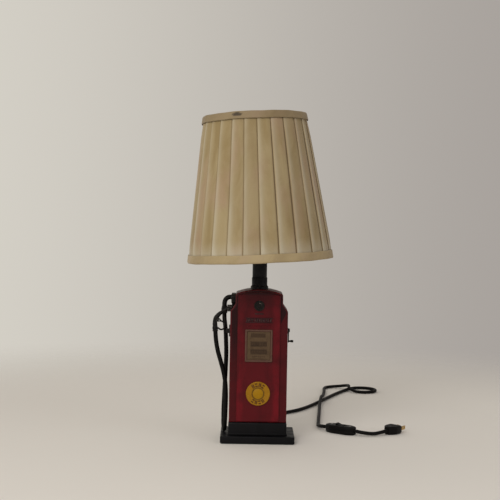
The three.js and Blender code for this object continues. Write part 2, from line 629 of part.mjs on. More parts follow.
function addHoseSide() {
  const nearCabinet = plateXZ(cabinetOutline(-GAP, 100), -40, 40);
  const bossOutline = roundedRectangle(40, 14.5, 4);
  const boss = plateYZ(bossOutline, -44, -36, 4).translate(0, 0, 224.2);
  add("outlet_boss", cut(boss, nearCabinet), FINISH.darkMetal());

  const bend = [[-44.9, OUTLET_Y, 224.6], [-49.2, OUTLET_Y, 224.1], [-53.2, OUTLET_Y, 221]];
  bend.push([-55.1, OUTLET_Y, 215.5], [-55.2, OUTLET_Y, 209.5]);
  add("outlet_elbow", sweep(bend, 3.8, 8, 10), FINISH.darkMetal());
  const coupling = turned([[0, 199.5], [4.3, 199.5], [4.8, 201], [4.8, 206], [4.3, 209.2], [0, 209.2]], 16);
  add("hose_coupling", coupling.translate(-55.2, OUTLET_Y, 0), FINISH.darkMetal());

  add("fuel_hose", sweep(hoseRoute(), HOSE_RADIUS, 30, 8), FINISH.rubber());
  const ferrule = turned([[0, 0], [4.4, 0], [4.4, 7], [3.8, 9.3], [0, 9.3]], 16);
  add("hose_ferrule", ferrule.rotateY(-0.06).translate(-68.4, NOZZLE_Y, 172.9), FINISH.darkMetal());

  const grip = [[-69.1, NOZZLE_Y, 182.7], [-69.3, NOZZLE_Y, 187.5], [-67.4, NOZZLE_Y, 193.5]];
  grip.push([-62.8, NOZZLE_Y, 199.5], [-57.2, NOZZLE_Y, 203.9]);
  const spout = [[-60, NOZZLE_Y, 201.8], [-52, NOZZLE_Y, 207.3], [-43.8, NOZZLE_Y, 212.5]];
  const lugOutline = new THREE.Shape();
  lugOutline.moveTo(-68, 187);
  lugOutline.lineTo(-60.4, 188.2);
  lugOutline.lineTo(-60.4, 192.4);
  lugOutline.lineTo(-67, 195);
  lugOutline.closePath();
  const lugs = [-1, 1].map((side) => {
    const near = NOZZLE_Y + side * 2;
    const far = NOZZLE_Y + side * 3.4;
    return plateXZ(lugOutline, Math.min(near, far), Math.max(near, far));
  });
  const pinHole = rod([PIN.x, NOZZLE_Y - 5, PIN.z], [PIN.x, NOZZLE_Y + 5, PIN.z], PIN.bore, 16);
  const nozzle = join(sweep(grip, 4.1, 8, 12), sweep(spout, 2.2, 5, 8), ...lugs);
  add("nozzle_body", cut(nozzle, pinHole), FINISH.darkMetal());

  const guard = [[-56.1, 198.7], [-54.2, 195.2], [-53.4, 190], [-53.4, 183], [-54.8, 177.6]];
  guard.push([-58.4, 175.3], [-61.6, 176], [-63.5, 177.4]);
  const guardPath = guard.map(([x, z]) => [x, NOZZLE_Y, z]);
  add("nozzle_guard", sweep(guardPath, 1.3, 14, 6), FINISH.darkMetal());

  const lever = new THREE.Shape();
  lever.moveTo(PIN.x, PIN.z + 1.9);
  lever.absarc(PIN.x, PIN.z, 1.9, Math.PI / 2, 1.5 * Math.PI);
  lever.lineTo(-55.6, 186.6);
  lever.lineTo(-55.6, 188.4);
  lever.closePath();
  const leverPlate = plateXZ(lever, NOZZLE_Y - 1.6, NOZZLE_Y + 1.6, 8);
  add("nozzle_trigger", cut(leverPlate, pinHole), FINISH.darkMetal());
  const pin = rod([PIN.x, NOZZLE_Y - 3.8, PIN.z], [PIN.x, NOZZLE_Y + 3.8, PIN.z], PIN.radius, 16);
  add("trigger_pin", pin, FINISH.steel());

  const yoke = cut(
    box([-50, -39], [NOZZLE_Y - 4, NOZZLE_Y + 4], [204.3, 214.4]),
    box([-51, -38], [NOZZLE_Y - 2.6, NOZZLE_Y + 2.6], [205.6, 216]),
    nearCabinet,
  );
  add("spout_yoke", yoke, FINISH.darkMetal());
  const bracket = join(
    box([-46.8, -45.3], [NOZZLE_Y - 6, NOZZLE_Y + 6], [165, 183]),
    box([-51.6, -46], [NOZZLE_Y - 4, NOZZLE_Y + 4], [170, 177]),
  );
  add("guard_bracket", bracket, FINISH.darkMetal());
}

// The hose hangs from the coupling, turns back just above the slab and rises to the nozzle.
function hoseRoute() {
  return [
    [-55.2, OUTLET_Y, 199.2],
    [-54.9, OUTLET_Y, 190],
    [-53.2, OUTLET_Y, 176],
    [-51.9, OUTLET_Y, 155],
    [-51.2, OUTLET_Y, 133],
    [-51.9, OUTLET_Y, 107],
    [-52.8, OUTLET_Y, 86],
    [-53.6, OUTLET_Y, 64],
    [-54.2, OUTLET_Y, 46],
    [-54.2, 13.9, 32],
    [-54, 11.6, 22.6],
    [-53.4, 6.7, 17.4],
    [-52.8, 0, 15.9],
    [-52.2, -6.7, 17.4],
    [-51.6, -11.6, 22.6],
    [-51, -13.9, 32],
    [-50.4, NOZZLE_Y, 54],
    [-50.3, NOZZLE_Y, 72],
    [-51.3, NOZZLE_Y, 90],
    [-54.2, NOZZLE_Y, 107],
    [-58.8, NOZZLE_Y, 124],
    [-63.8, NOZZLE_Y, 141],
    [-67, NOZZLE_Y, 158],
    [-68.3, NOZZLE_Y, 172.6],
  ];
}

// ---------- mains cord ----------

function addCord() {
  const wallBack = SKIRT.depth / 2;
  const relief = turned([
    [0, wallBack - 2.6],
    [4.4, wallBack - 2.6],
    [4.4, wallBack + GAP],
    [7.2, wallBack + GAP],
    [7.2, wallBack + 2.4],
    [5.6, wallBack + 3.4],
    [4, wallBack + 3.4 + RELIEF.length],
    [0, wallBack + 3.4 + RELIEF.length],
  ], 16);
  add("cord_strain_relief", relief.rotateX(-Math.PI / 2).translate(0, 0, RELIEF.z), FINISH.rubber());

  add("cord_lead", sweep(leadRoute(), CORD_RADIUS, 12, 8), FINISH.plastic());
  const coil = ring(COIL.inner, COIL.outer, COIL.bottom, COIL.top, 28).translate(0, COIL.y, 0);
  add("cord_coil", coil, FINISH.plastic());
  add("cord_run", sweep(runRoute(), CORD_RADIUS, 60, 8), FINISH.plastic());
  add("cord_tail", sweep(tailRoute(), CORD_RADIUS, 8, 8), FINISH.plastic());

  const [near, far] = [COIL.inner - 1.2, COIL.outer + 1.2];
  const tie = cut(
    box([near, far], [-3, 3], [0.2, COIL.top + 1.2]),
    box([COIL.inner - GAP, COIL.outer + GAP], [-4, 4], [COIL.bottom - GAP, COIL.top + GAP]),
  );
  add("cord_tie", lay(tie, { x: 0, y: COIL.y, heading: -80 }), FINISH.plastic());

  addSwitch();
  addPlug();
}

function addSwitch() {
  const { length, width, bottom, top } = SWITCH;
  const tip = length / 2;
  const body = plateXY(switchOutline(tip, width / 2), bottom, top, 4);
  const pocket = box([-8, 8], [-5.4, 5.4], [8, top + 1]);
  add("switch_housing", lay(cut(body, pocket), SWITCH), FINISH.plastic());
  const rocker = new THREE.Shape();
  rocker.moveTo(-7.2, 9.8);
  rocker.lineTo(0, 8.7);
  rocker.lineTo(7.2, 9.8);
  rocker.lineTo(7.4, 13.6);
  rocker.lineTo(0, 14.4);
  rocker.lineTo(-7.4, 15.6);
  rocker.closePath();
  add("switch_rocker", lay(plateXZ(rocker, -4.9, 4.9), SWITCH), FINISH.plastic());
}

// Blunt lens outline that narrows to the cord at both ends.
function switchOutline(tip, half) {
  const shape = new THREE.Shape();
  shape.moveTo(-tip, -4.6);
  shape.quadraticCurveTo(-tip + 8, -half, -tip + 15, -half);
  shape.lineTo(tip - 15, -half);
  shape.quadraticCurveTo(tip - 8, -half, tip, -4.6);
  shape.lineTo(tip, 4.6);
  shape.quadraticCurveTo(tip - 8, half, tip - 15, half);
  shape.lineTo(-tip + 15, half);
  shape.quadraticCurveTo(-tip + 8, half, -tip, 4.6);
  shape.closePath();
  return shape;
}

function addPlug() {
  const { length, width, bottom, top } = PLUG;
  const outline = new THREE.Shape();
  outline.moveTo(0, -4.4);
  outline.quadraticCurveTo(6, -5, 12, -width / 2);
  outline.lineTo(length, -width / 2);
  outline.lineTo(length, width / 2);
  outline.lineTo(12, width / 2);
  outline.quadraticCurveTo(6, 5, 0, 4.4);
  outline.closePath();
  add("plug_body", lay(plateXY(outline, bottom, top, 4), PLUG), FINISH.plastic());
  [-1, 1].forEach((side, i) => {
    const y = (side * BLADE.spacing) / 2;
    const blade = box(
      [length + GAP, length + BLADE.length],
      [y - BLADE.thickness / 2, y + BLADE.thickness / 2],
      [LEAD_Z - BLADE.width / 2, LEAD_Z + BLADE.width / 2],
    );
    add(`plug_blade_${i + 1}`, lay(blade, PLUG), FINISH.brass());
  });
}

// From the strain relief down to where the cord joins the coil's outer turn.
function leadRoute() {
  return [
    [0, 58.8, 21],
    [-0.7, 70, 19.4],
    [-4.4, 85.5, 12],
    [-8.9, 93.9, 8.2],
  ];
}

// From the coil across the table, round one open loop that crosses itself, back over itself in a long low hump
// and forward to the switch.
function runRoute() {
  return [
    [1.6, 180.4, 7.8],
    [25, 196, FLOOR_Z],
    [51, 210, FLOOR_Z],
    [73, 233, FLOOR_Z],
    [93, 265, FLOOR_Z],
    [119.2, 322, FLOOR_Z],
    [154, 405, FLOOR_Z],
    [177, 453, FLOOR_Z],
    [193.6, 481.5, FLOOR_Z],
    [207.8, 493.4, FLOOR_Z],
    [226.2, 493.4, FLOOR_Z],
    [240.4, 481.5, FLOOR_Z],
    [243.6, 463.3, FLOOR_Z],
    [234.4, 447.3, FLOOR_Z],
    [217, 441, FLOOR_Z],
    [199.6, 447.3, 4.4],
    [190.2, 464, 8.6],
    [190.6, 479, 9.9],
    [186.4, 493.1, 8],
    [173.2, 502.8, 5],
    [156.8, 502.5, 3.6],
    [145, 493, FLOOR_Z],
    [140.1, 476.3, FLOOR_Z],
    [137.5, 440, FLOOR_Z],
    [132, 394, 3.8],
    [128.8, 368, 6.8],
    [125.4, 342, 10.2],
    [121.6, 314, 8],
    [118.6, 286, 4.2],
    [112.8, 215, FLOOR_Z],
    [106, 130, FLOOR_Z],
    [104, 99, 4],
    [107.2, 82.4, 5.9],
    [115.8, 70.6, LEAD_Z],
  ];
}

// From the switch to the plug.
function tailRoute() {
  return [
    [160.2, 39.4, LEAD_Z],
    [171.5, 34, 5.9],
    [190, 33.4, 4.6],
    [212.1, 46.4, LEAD_Z],
  ];
}

addBase();
addCabinet();
addFrontTrim();
addNeck();
addSocketAndBulb();
addHarpAndShade();
addCrank();
addHoseSide();
addCord();

export default lamp;
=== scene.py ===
"""Looks of a table lamp shaped as a miniature vintage fuel pump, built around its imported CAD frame.

Lengths in this script are in millimetres, in the frame's axes (+Z up, front towards -Y). MM turns them
into metres.
"""

import json
import math
import random

import bpy
import numpy as np
from mathutils import Matrix, Vector


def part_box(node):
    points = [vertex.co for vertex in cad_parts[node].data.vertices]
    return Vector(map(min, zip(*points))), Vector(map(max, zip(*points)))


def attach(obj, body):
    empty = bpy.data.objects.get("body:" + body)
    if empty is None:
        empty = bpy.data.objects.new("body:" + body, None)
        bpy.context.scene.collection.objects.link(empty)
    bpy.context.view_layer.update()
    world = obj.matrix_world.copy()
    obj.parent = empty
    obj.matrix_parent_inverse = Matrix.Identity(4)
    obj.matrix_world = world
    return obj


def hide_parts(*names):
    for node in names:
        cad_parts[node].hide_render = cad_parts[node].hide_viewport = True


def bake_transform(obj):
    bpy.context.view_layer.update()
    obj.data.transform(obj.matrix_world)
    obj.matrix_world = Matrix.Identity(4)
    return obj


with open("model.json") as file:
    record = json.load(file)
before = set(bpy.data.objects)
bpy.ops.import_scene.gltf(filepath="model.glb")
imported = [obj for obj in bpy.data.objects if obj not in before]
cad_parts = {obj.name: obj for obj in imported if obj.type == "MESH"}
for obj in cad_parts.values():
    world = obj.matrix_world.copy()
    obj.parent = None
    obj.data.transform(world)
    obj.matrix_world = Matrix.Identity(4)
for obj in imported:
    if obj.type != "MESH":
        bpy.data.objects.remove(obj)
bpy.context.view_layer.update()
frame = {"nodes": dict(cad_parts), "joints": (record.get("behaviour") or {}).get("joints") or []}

MM = 0.001
NODES = frame["nodes"]
TAU = 2 * math.pi


# ---------- the frame's measures ----------


def span(node):
    """Lowest and highest corners of a CAD node, in millimetres."""
    low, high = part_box(node)
    return Vector(low) / MM, Vector(high) / MM


def middle(node):
    low, high = span(node)
    return (low + high) / 2


JOINTS = {joint["name"]: joint for joint in frame["joints"]}
SHADE_AXIS = Vector(JOINTS["shade_turn"]["axis"])
SHADE_PIVOT = Vector(JOINTS["shade_turn"]["pos_m"]) / MM
LEAN = Vector((0, 0, 1)).rotation_difference(SHADE_AXIS).to_matrix()


def leaning(points):
    """Points drawn upright, turned with the shade's lean about the harp saddle."""
    return [SHADE_PIVOT + LEAN @ (Vector(p) - SHADE_PIVOT) for p in points]


# ---------- camera ----------

CAMERA_PLACE = Vector((-16, -1648, 355))
CAMERA_LENS = 75.1
CAMERA_PITCH = 1.893
CAMERA_ROLL = 0.944


def add_camera():
    data = bpy.data.cameras.new("camera")
    data.lens = CAMERA_LENS
    data.sensor_width = 36
    data.clip_end = 50
    camera = bpy.data.objects.new("camera", data)
    bpy.context.scene.collection.objects.link(camera)
    level = Matrix.Rotation(math.radians(90 - CAMERA_PITCH), 4, "X")
    roll = Matrix.Rotation(math.radians(CAMERA_ROLL), 4, "Z")
    camera.matrix_world = Matrix.Translation(CAMERA_PLACE * MM) @ level @ roll
    bpy.context.scene.camera = camera


# ---------- mesh tools ----------


def mesh_object(name, points, faces, smooth_angle=35):
    mesh = bpy.data.meshes.new(name)
    mesh.from_pydata([tuple(Vector(p) * MM) for p in points], [], faces)
    mesh.validate()
    for polygon in mesh.polygons:
        polygon.use_smooth = True
    mesh.set_sharp_from_angle(angle=math.radians(smooth_angle))
    piece = bpy.data.objects.new(name, mesh)
    bpy.context.scene.collection.objects.link(piece)
    return piece


def face_outwards(piece):
    """Turns the faces the right way when the closed mesh has them facing in."""
    mesh = piece.data
    volume = 0.0
    for polygon in mesh.polygons:
        corners = [mesh.vertices[i].co for i in polygon.vertices]
        for a, b in zip(corners[1:-1], corners[2:]):
            volume += corners[0].dot(a.cross(b))
    if volume < 0:
        mesh.flip_normals()
    return piece


def strip_faces(rows, count, closed=False):
    """Four-sided faces between neighbouring rows of count points, each row running round on itself."""
    faces = []
    for i in range(rows if closed else rows - 1):
        near, far = i * count, (i + 1) % rows * count
        for j in range(count):
            k = (j + 1) % count
            faces.append((near + j, near + k, far + k, far + j))
    return faces


def baked(piece):
    """The piece with its modifiers worked into its mesh."""
    bpy.context.view_layer.update()
    evaluated = piece.evaluated_get(bpy.context.evaluated_depsgraph_get())
    mesh = bpy.data.meshes.new_from_object(evaluated)
    piece.modifiers.clear()
    piece.data = mesh
    return piece


def skin(name, loops, closed=False, smooth_angle=35):
    """A surface through loops with equal point counts, capped at both ends or closed on itself."""
    count = len(loops[0])
    points = [p for loop in loops for p in loop]
    faces = strip_faces(len(loops), count, closed)
    if not closed:
        faces.append(tuple(range(count)))
        faces.append(tuple(reversed(range((len(loops) - 1) * count, len(loops) * count))))
    return face_outwards(mesh_object(name, points, faces, smooth_angle))


def circle(radius, count=48, start=0.0):
    return [
        (radius * math.cos(start + TAU * i / count), radius * math.sin(start + TAU * i / count))
        for i in range(count)
    ]


def turn_up_to(axis):
    """The turn that takes +Z to an axis."""
    return Vector((0, 0, 1)).rotation_difference(Vector(axis)).to_matrix()


def standing(centre, axis):
    """A place for turned rings: upright points stood along an axis at a centre."""
    turn = turn_up_to(axis)
    return lambda ring: [Vector(centre) + turn @ Vector(p) for p in ring]


def turned(name, profile, centre=(0, 0, 0), axis=(0, 0, 1), count=48, place=None, smooth_angle=35):
    """A profile of (radius, height) points turned about an axis. Ends on the axis are kept as tiny rings."""
    turn = turn_up_to(axis)
    loops = []
    for radius, height in profile:
        ring = [Vector(centre) + turn @ Vector((x, y, height)) for x, y in circle(max(radius, 0.02), count)]
        loops.append(place(ring) if place else ring)
    return skin(name, loops, smooth_angle=smooth_angle)


def turned_ring(name, profile, count=96, place=None, smooth_angle=35):
    """A closed profile of (radius, height) points turned about Z."""
    loops = []
    for radius, height in profile:
        ring = [(x, y, height) for x, y in circle(radius, count)]
        loops.append(place(ring) if place else ring)
    return skin(name, loops, closed=True, smooth_angle=smooth_angle)


def smooth_path(points, step):
    """Centripetal Catmull-Rom line through the points, sampled about every step millimetres."""
    knots = [Vector(p) for p in points]
    knots = [2 * knots[0] - knots[1], *knots, 2 * knots[-1] - knots[-2]]
    line = []
    for a, b, c, d in zip(knots, knots[1:], knots[2:], knots[3:]):
        t1 = (b - a).length ** 0.5
        t2 = t1 + (c - b).length ** 0.5
        t3 = t2 + (d - c).length ** 0.5
        pieces = max(2, round((c - b).length / step))
        for i in range(pieces):
            t = t1 + (t2 - t1) * i / pieces
            ab = a * ((t1 - t) / t1) + b * (t / t1)
            bc = b * ((t2 - t) / (t2 - t1)) + c * ((t - t1) / (t2 - t1))
            cd = c * ((t3 - t) / (t3 - t2)) + d * ((t - t2) / (t3 - t2))
            abc = ab * ((t2 - t) / t2) + bc * (t / t2)
            bcd = bc * ((t3 - t) / (t3 - t1)) + cd * ((t - t1) / (t3 - t1))
            line.append(abc * ((t2 - t) / (t2 - t1)) + bcd * ((t - t1) / (t2 - t1)))
    line.append(knots[-2])
    return line


def path_frames(line):
    """A steady pair of side directions at each point of a line."""
    frames = []
    side = None
    for i, point in enumerate(line):
        ahead = line[min(i + 1, len(line) - 1)] - line[max(i - 1, 0)]
        ahead.normalize()
        if side is None:
            side = ahead.orthogonal()
        side = (side - ahead * side.dot(ahead)).normalized()
        frames.append((point, side, ahead.cross(side)))
    return frames


def tube(name, line, radius, count=16, smooth_angle=50):
    """A round bar along a line. radius is a number, or a function of the share of the length."""
    loops = []
    for i, (point, side, up) in enumerate(path_frames(line)):
        r = radius(i / (len(line) - 1)) if callable(radius) else radius
        loops.append([point + side * x + up * y for x, y in circle(r, count)])
    return skin(name, loops, smooth_angle=smooth_angle)


def closed_tube(name, line, radius, count=10):
    """A round bar along a line that ends where it starts."""
    loops = []
    total = len(line)
    for i, point in enumerate(line):
        ahead = (line[(i + 1) % total] - line[i - 1]).normalized()
        side = ahead.cross(Vector(SHADE_AXIS)).normalized()
        up = side.cross(ahead)
        loops.append([point + side * x + up * y for x, y in circle(radius, count)])
    return skin(name, loops, closed=True, smooth_angle=60)


def rounded_rectangle(width, height, radius, steps=6):
    """An outline function: the rectangle moved inwards by an inset, always with the same point count."""

    def outline(inset):
        r = max(radius - inset, 0.05)
        x, y = width / 2 - inset - r, height / 2 - inset - r
        points = []
        for corner, (cx, cy) in enumerate([(x, y), (-x, y), (-x, -y), (x, -y)]):
            for i in range(steps + 1):
                angle = (corner + i / steps) * math.pi / 2
                points.append((cx + r * math.cos(angle), cy + r * math.sin(angle)))
        return points

    return outline


def edge_profile(low, high, radius, steps=4, low_radius=None):
    """(inset, height) steps for a block from low to high whose edges are rounded."""
    under = radius if low_radius is None else low_radius
    profile = []
    for i in range(steps + 1):
        angle = i / steps * math.pi / 2
        profile.append((under * (1 - math.sin(angle)), low + under * (1 - math.cos(angle))))
    for i in range(steps + 1):
        angle = i / steps * math.pi / 2
        profile.append((radius * (1 - math.cos(angle)), high - radius * (1 - math.sin(angle))))
    return profile


def block(name, outline, profile, lift, smooth_angle=30):
    """Stacks an outline along a (inset, height) profile. lift turns (x, y, height) into a place."""
    loops = [[lift(x, y, height) for x, y in outline(inset)] for inset, height in profile]
    return skin(name, loops, smooth_angle=smooth_angle)


def upright(x, y, height):
    return Vector((x, y, height))


def facing_front(x, z, depth):
    """For outlines in X and Z; the profile's height runs along Y."""
    return Vector((x, depth, z))


def cut_away(piece, *tools):
    """Cuts the tools out of the piece and removes them."""
    for tool in tools:
        modifier = piece.modifiers.new("cut", "BOOLEAN")
        modifier.operation = "DIFFERENCE"
        modifier.solver = "EXACT"
        modifier.object = tool
    mesh = baked(piece).data
    for polygon in mesh.polygons:
        polygon.use_smooth = True
    mesh.set_sharp_from_angle(angle=math.radians(30))
    for tool in tools:
        bpy.data.objects.remove(tool)
    return piece


def joined(name, *pieces):
    """One piece made of several closed bodies that stay apart or sink into each other."""
    points, faces = [], []
    for piece in pieces:
        start = len(points)
        points.extend(v.co / MM for v in piece.data.vertices)
        faces.extend(tuple(start + i for i in polygon.vertices) for polygon in piece.data.polygons)
        bpy.data.objects.remove(piece)
    return mesh_object(name, points, faces)


# ---------- materials ----------


class Finish:
    """A procedural material: a Principled shader fed by textures in the piece's own space, in metres."""

    def __init__(self, name, **values):
        self.material = bpy.data.materials.new(name)
        self.material.use_nodes = True
        self.tree = self.material.node_tree
        self.shader = self.tree.nodes["Principled BSDF"]
        self.place = self.node("ShaderNodeTexCoord").outputs["Object"]
        self.height = None
        for socket, value in values.items():
            self.shader.inputs[socket.replace("_", " ")].default_value = value

    def node(self, kind, **settings):
        made = self.tree.nodes.new(kind)
        for key, value in settings.items():
            setattr(made, key, value)
        return made

    def link(self, source, socket):
        self.tree.links.new(source, socket)

    def stretched(self, scale, source=None):
        """Texture space scaled by different amounts along its axes."""
        mapping = self.node("ShaderNodeMapping")
        mapping.inputs["Scale"].default_value = scale
        self.link(source or self.place, mapping.inputs["Vector"])
        return mapping.outputs["Vector"]

    def noise(self, scale, detail=4, rough=0.5, warp=0, space=None):
        made = self.node("ShaderNodeTexNoise")
        made.inputs["Scale"].default_value = scale
        made.inputs["Detail"].default_value = detail
        made.inputs["Roughness"].default_value = rough
        made.inputs["Distortion"].default_value = warp
        self.link(space or self.place, made.inputs["Vector"])
        return made.outputs["Fac"]

    def cells(self, scale, feature="F1"):
        made = self.node("ShaderNodeTexVoronoi", feature=feature)
        made.inputs["Scale"].default_value = scale
        self.link(self.place, made.inputs["Vector"])
        return made.outputs["Distance"]

    def waves(self, scale, direction, space):
        made = self.node("ShaderNodeTexWave", wave_profile="SIN", bands_direction=direction)
        made.inputs["Scale"].default_value = scale
        self.link(space, made.inputs["Vector"])
        return made.outputs["Fac"]

    def ramp(self, source, low, high, low_value=0.0, high_value=1.0):
        made = self.node("ShaderNodeMapRange", interpolation_type="SMOOTHSTEP")
        limits = {"From Min": low, "From Max": high, "To Min": low_value, "To Max": high_value}
        for socket, value in limits.items():
            made.inputs[socket].default_value = value
        self.link(source, made.inputs["Value"])
        return made.outputs["Result"]

    def math(self, operation, a, b):
        made = self.node("ShaderNodeMath", operation=operation)
        for socket, value in zip(made.inputs, (a, b)):
            if isinstance(value, (int, float)):
                socket.default_value = value
            else:
                self.link(value, socket)
        return made.outputs["Value"]

    def mix(self, share, a, b, blend="MIX"):
        made = self.node("ShaderNodeMix", data_type="RGBA", blend_type=blend)
        for socket, value in zip((made.inputs[0], made.inputs[6], made.inputs[7]), (share, a, b)):
            if isinstance(value, (int, float)):
                socket.default_value = value
            elif isinstance(value, tuple):
                socket.default_value = (*value, 1)
            else:
                self.link(value, socket)
        return made.outputs[2]

    def along(self, axis):
        """The place in metres along one axis."""
        made = self.node("ShaderNodeSeparateXYZ")
        self.link(self.place, made.inputs["Vector"])
        return made.outputs[axis]

    def band(self, source, start, full, fall, end):
        """0 up to start, 1 from full to fall, 0 again from end."""
        return self.math("MULTIPLY", self.ramp(source, start, full), self.ramp(source, fall, end, 1, 0))

    def attribute(self, name):
        return self.node("ShaderNodeAttribute", attribute_name=name).outputs["Fac"]

    def edges(self, low, high):
        """1 on outer edges, 0 elsewhere."""
        return self.ramp(self.node("ShaderNodeNewGeometry").outputs["Pointiness"], low, high)

    def colour(self, source):
        self.link(source, self.shader.inputs["Base Color"])

    def roughness(self, source, low, high):
        self.link(self.ramp(source, 0.3, 0.7, low, high), self.shader.inputs["Roughness"])

    def streaked(self, colour, dark):
        """Upright streaks of dirt over a colour."""
        streaks = self.noise(60, 4, 0.6, space=self.stretched((1, 1, 0.12)))
        return self.mix(self.ramp(streaks, 0.5, 0.75, 0, 0.4), colour, dark)

    def chipped(self, colour, scale, under):
        """Small chips in patches, showing what is under the colour."""
        chips = self.ramp(self.cells(scale), 0.02, 0.07, 1, 0)
        chips = self.math("MULTIPLY", chips, self.ramp(self.noise(45, 2), 0.6, 0.68))
        return self.mix(self.math("MULTIPLY", chips, 0.5), colour, under)

    def bump(self, height, strength, distance):
        """distance is in metres. Calls stack."""
        made = self.node("ShaderNodeBump")
        made.inputs["Strength"].default_value = strength
        made.inputs["Distance"].default_value = distance
        self.link(height, made.inputs["Height"])
        if self.height is not None:
            self.link(self.height, made.inputs["Normal"])
        self.height = made.outputs["Normal"]
        self.link(self.height, self.shader.inputs["Normal"])


def paint(name, body, dark, worn, rough, gloss):
    """Aged paint: blotchy tone, dirt towards dark, rubbed edges."""
    finish = Finish(name, Specular_IOR_Level=gloss)
    blotch = finish.ramp(finish.noise(28, 5, 0.6, 0.4), 0.36, 0.7)
    colour = finish.streaked(finish.mix(blotch, body, dark), dark)
    rubbed = finish.math("MULTIPLY", finish.edges(0.53, 0.62), finish.ramp(finish.noise(420, 3), 0.42, 0.6))
    colour = finish.mix(finish.math("MULTIPLY", rubbed, 0.5), colour, worn)
    finish.colour(finish.chipped(colour, 520, dark))
    finish.roughness(finish.noise(90, 4), rough - 0.08, rough + 0.14)
    finish.bump(finish.noise(900, 3), 0.12, 0.0003)
    finish.bump(finish.noise(55, 3), 0.2, 0.001)
    return finish.material


def antique_red():
    """Red paint under a dark glaze, darker on the columns, with a painted highlight near the panel's long
    edges and a painted shadow of the lampshade on the middle of the head.
    """
    finish = Finish("red_paint", Specular_IOR_Level=0.15)
    red, bright, dark = (0.094, 0.0045, 0.008), (0.155, 0.0052, 0.011), (0.042, 0.0035, 0.005)
    side = finish.math("ABSOLUTE", finish.along("X"), 0)
    # Painted highlight: a brighter red band near the panel's long edges, broken into patches by noise.
    wavering = finish.math("ADD", side, finish.ramp(finish.noise(16, 3), 0.3, 0.7, -0.0035, 0.0035))
    rim = finish.band(wavering, 0.0195, 0.026, 0.0305, 0.033)
    highlight_patches = finish.ramp(finish.noise(34, 4, 0.6, space=finish.stretched((1, 1, 0.3))), 0.3, 0.65, 0.25, 1)
    colour = finish.mix(finish.math("MULTIPLY", rim, highlight_patches), red, bright)
    columns = finish.ramp(side, 0.0328, 0.0345, 0, 0.42)
    colour = finish.mix(columns, colour, dark)
    # Painted shadow of the lampshade: the middle of the head darkens towards its top.
    height = finish.along("Z")
    middle_part = finish.ramp(side, 0.012, 0.034, 1, 0.25)
    lampshade_shadow = finish.math("MULTIPLY", finish.ramp(height, 0.196, 0.232), middle_part)
    colour = finish.mix(finish.math("MULTIPLY", lampshade_shadow, 0.85), colour, dark)
    blotch = finish.ramp(finish.noise(26, 5, 0.6, 0.4), 0.42, 0.72, 0, 0.6)
    colour = finish.streaked(finish.mix(blotch, colour, dark), dark)
    edge = finish.math("MULTIPLY", finish.edges(0.53, 0.6), finish.ramp(finish.noise(300, 3), 0.4, 0.6))
    colour = finish.mix(finish.math("MULTIPLY", edge, 0.55), colour, (0.24, 0.02, 0.025))
    colour = finish.mix(finish.edges(0.485, 0.44), colour, (0.02, 0.003, 0.004))
    finish.colour(finish.chipped(colour, 480, (0.03, 0.006, 0.006)))
    finish.roughness(finish.noise(90, 4), 0.3, 0.5)
    finish.bump(finish.noise(900, 3), 0.12, 0.0003)
    finish.bump(finish.noise(48, 3), 0.3, 0.0012)
    return finish.material


def metal(name, body, tarnish):
    finish = Finish(name, Metallic=1.0)
    patch = finish.ramp(finish.noise(70, 5, 0.65, 0.3), 0.4, 0.68)
    finish.colour(finish.mix(patch, body, tarnish))
    grain = finish.noise(700, 3)
    finish.roughness(grain, 0.25, 0.44)
    finish.bump(grain, 0.15, 0.0003)
    return finish.material


def blackened_casting():
    """Blackened casting with bright rub marks on its edges."""
    body, worn = (0.0085, 0.0075, 0.0065), (0.09, 0.08, 0.068)
    finish = Finish("dark_metal", Metallic=0.08, Specular_IOR_Level=0.18)
    colour = finish.mix(finish.ramp(finish.noise(120, 4), 0.4, 0.65), body, tuple(c * 0.5 for c in body))
    rubbed = finish.math("MULTIPLY", finish.edges(0.52, 0.6), finish.ramp(finish.noise(380, 3), 0.45, 0.6))
    finish.colour(finish.mix(finish.math("MULTIPLY", rubbed, 0.5), colour, worn))
    finish.roughness(finish.noise(200, 3), 0.4, 0.62)
    finish.bump(finish.noise(650, 4), 0.35, 0.0005)
    return finish.material


def moulded(name, body, rough):
    """Moulded plastic or rubber with a fine grain and dust."""
    finish = Finish(name, Specular_IOR_Level=0.1)
    dust = finish.ramp(finish.noise(130, 5, 0.65), 0.52, 0.8, 0, 0.3)
    finish.colour(finish.mix(dust, body, tuple(c * 1.6 + 0.003 for c in body)))
    finish.roughness(finish.noise(260, 3), rough - 0.06, rough + 0.12)
    finish.bump(finish.noise(1400, 2), 0.25, 0.0002)
    return finish.material


def enamel(name, body, dark, rough):
    """Old sign enamel with faint crazing and grime."""
    finish = Finish(name, Specular_IOR_Level=0.18)
    grime = finish.ramp(finish.noise(160, 5, 0.7), 0.45, 0.75, 0, 0.6)
    colour = finish.mix(grime, body, dark)
    crazing = finish.ramp(finish.cells(900, feature="DISTANCE_TO_EDGE"), 0.0, 0.05, 0.35, 0)
    finish.colour(finish.mix(crazing, colour, dark))
    finish.roughness(finish.noise(300, 3), rough - 0.05, rough + 0.15)
    finish.bump(finish.noise(500, 3), 0.2, 0.0003)
    return finish.material


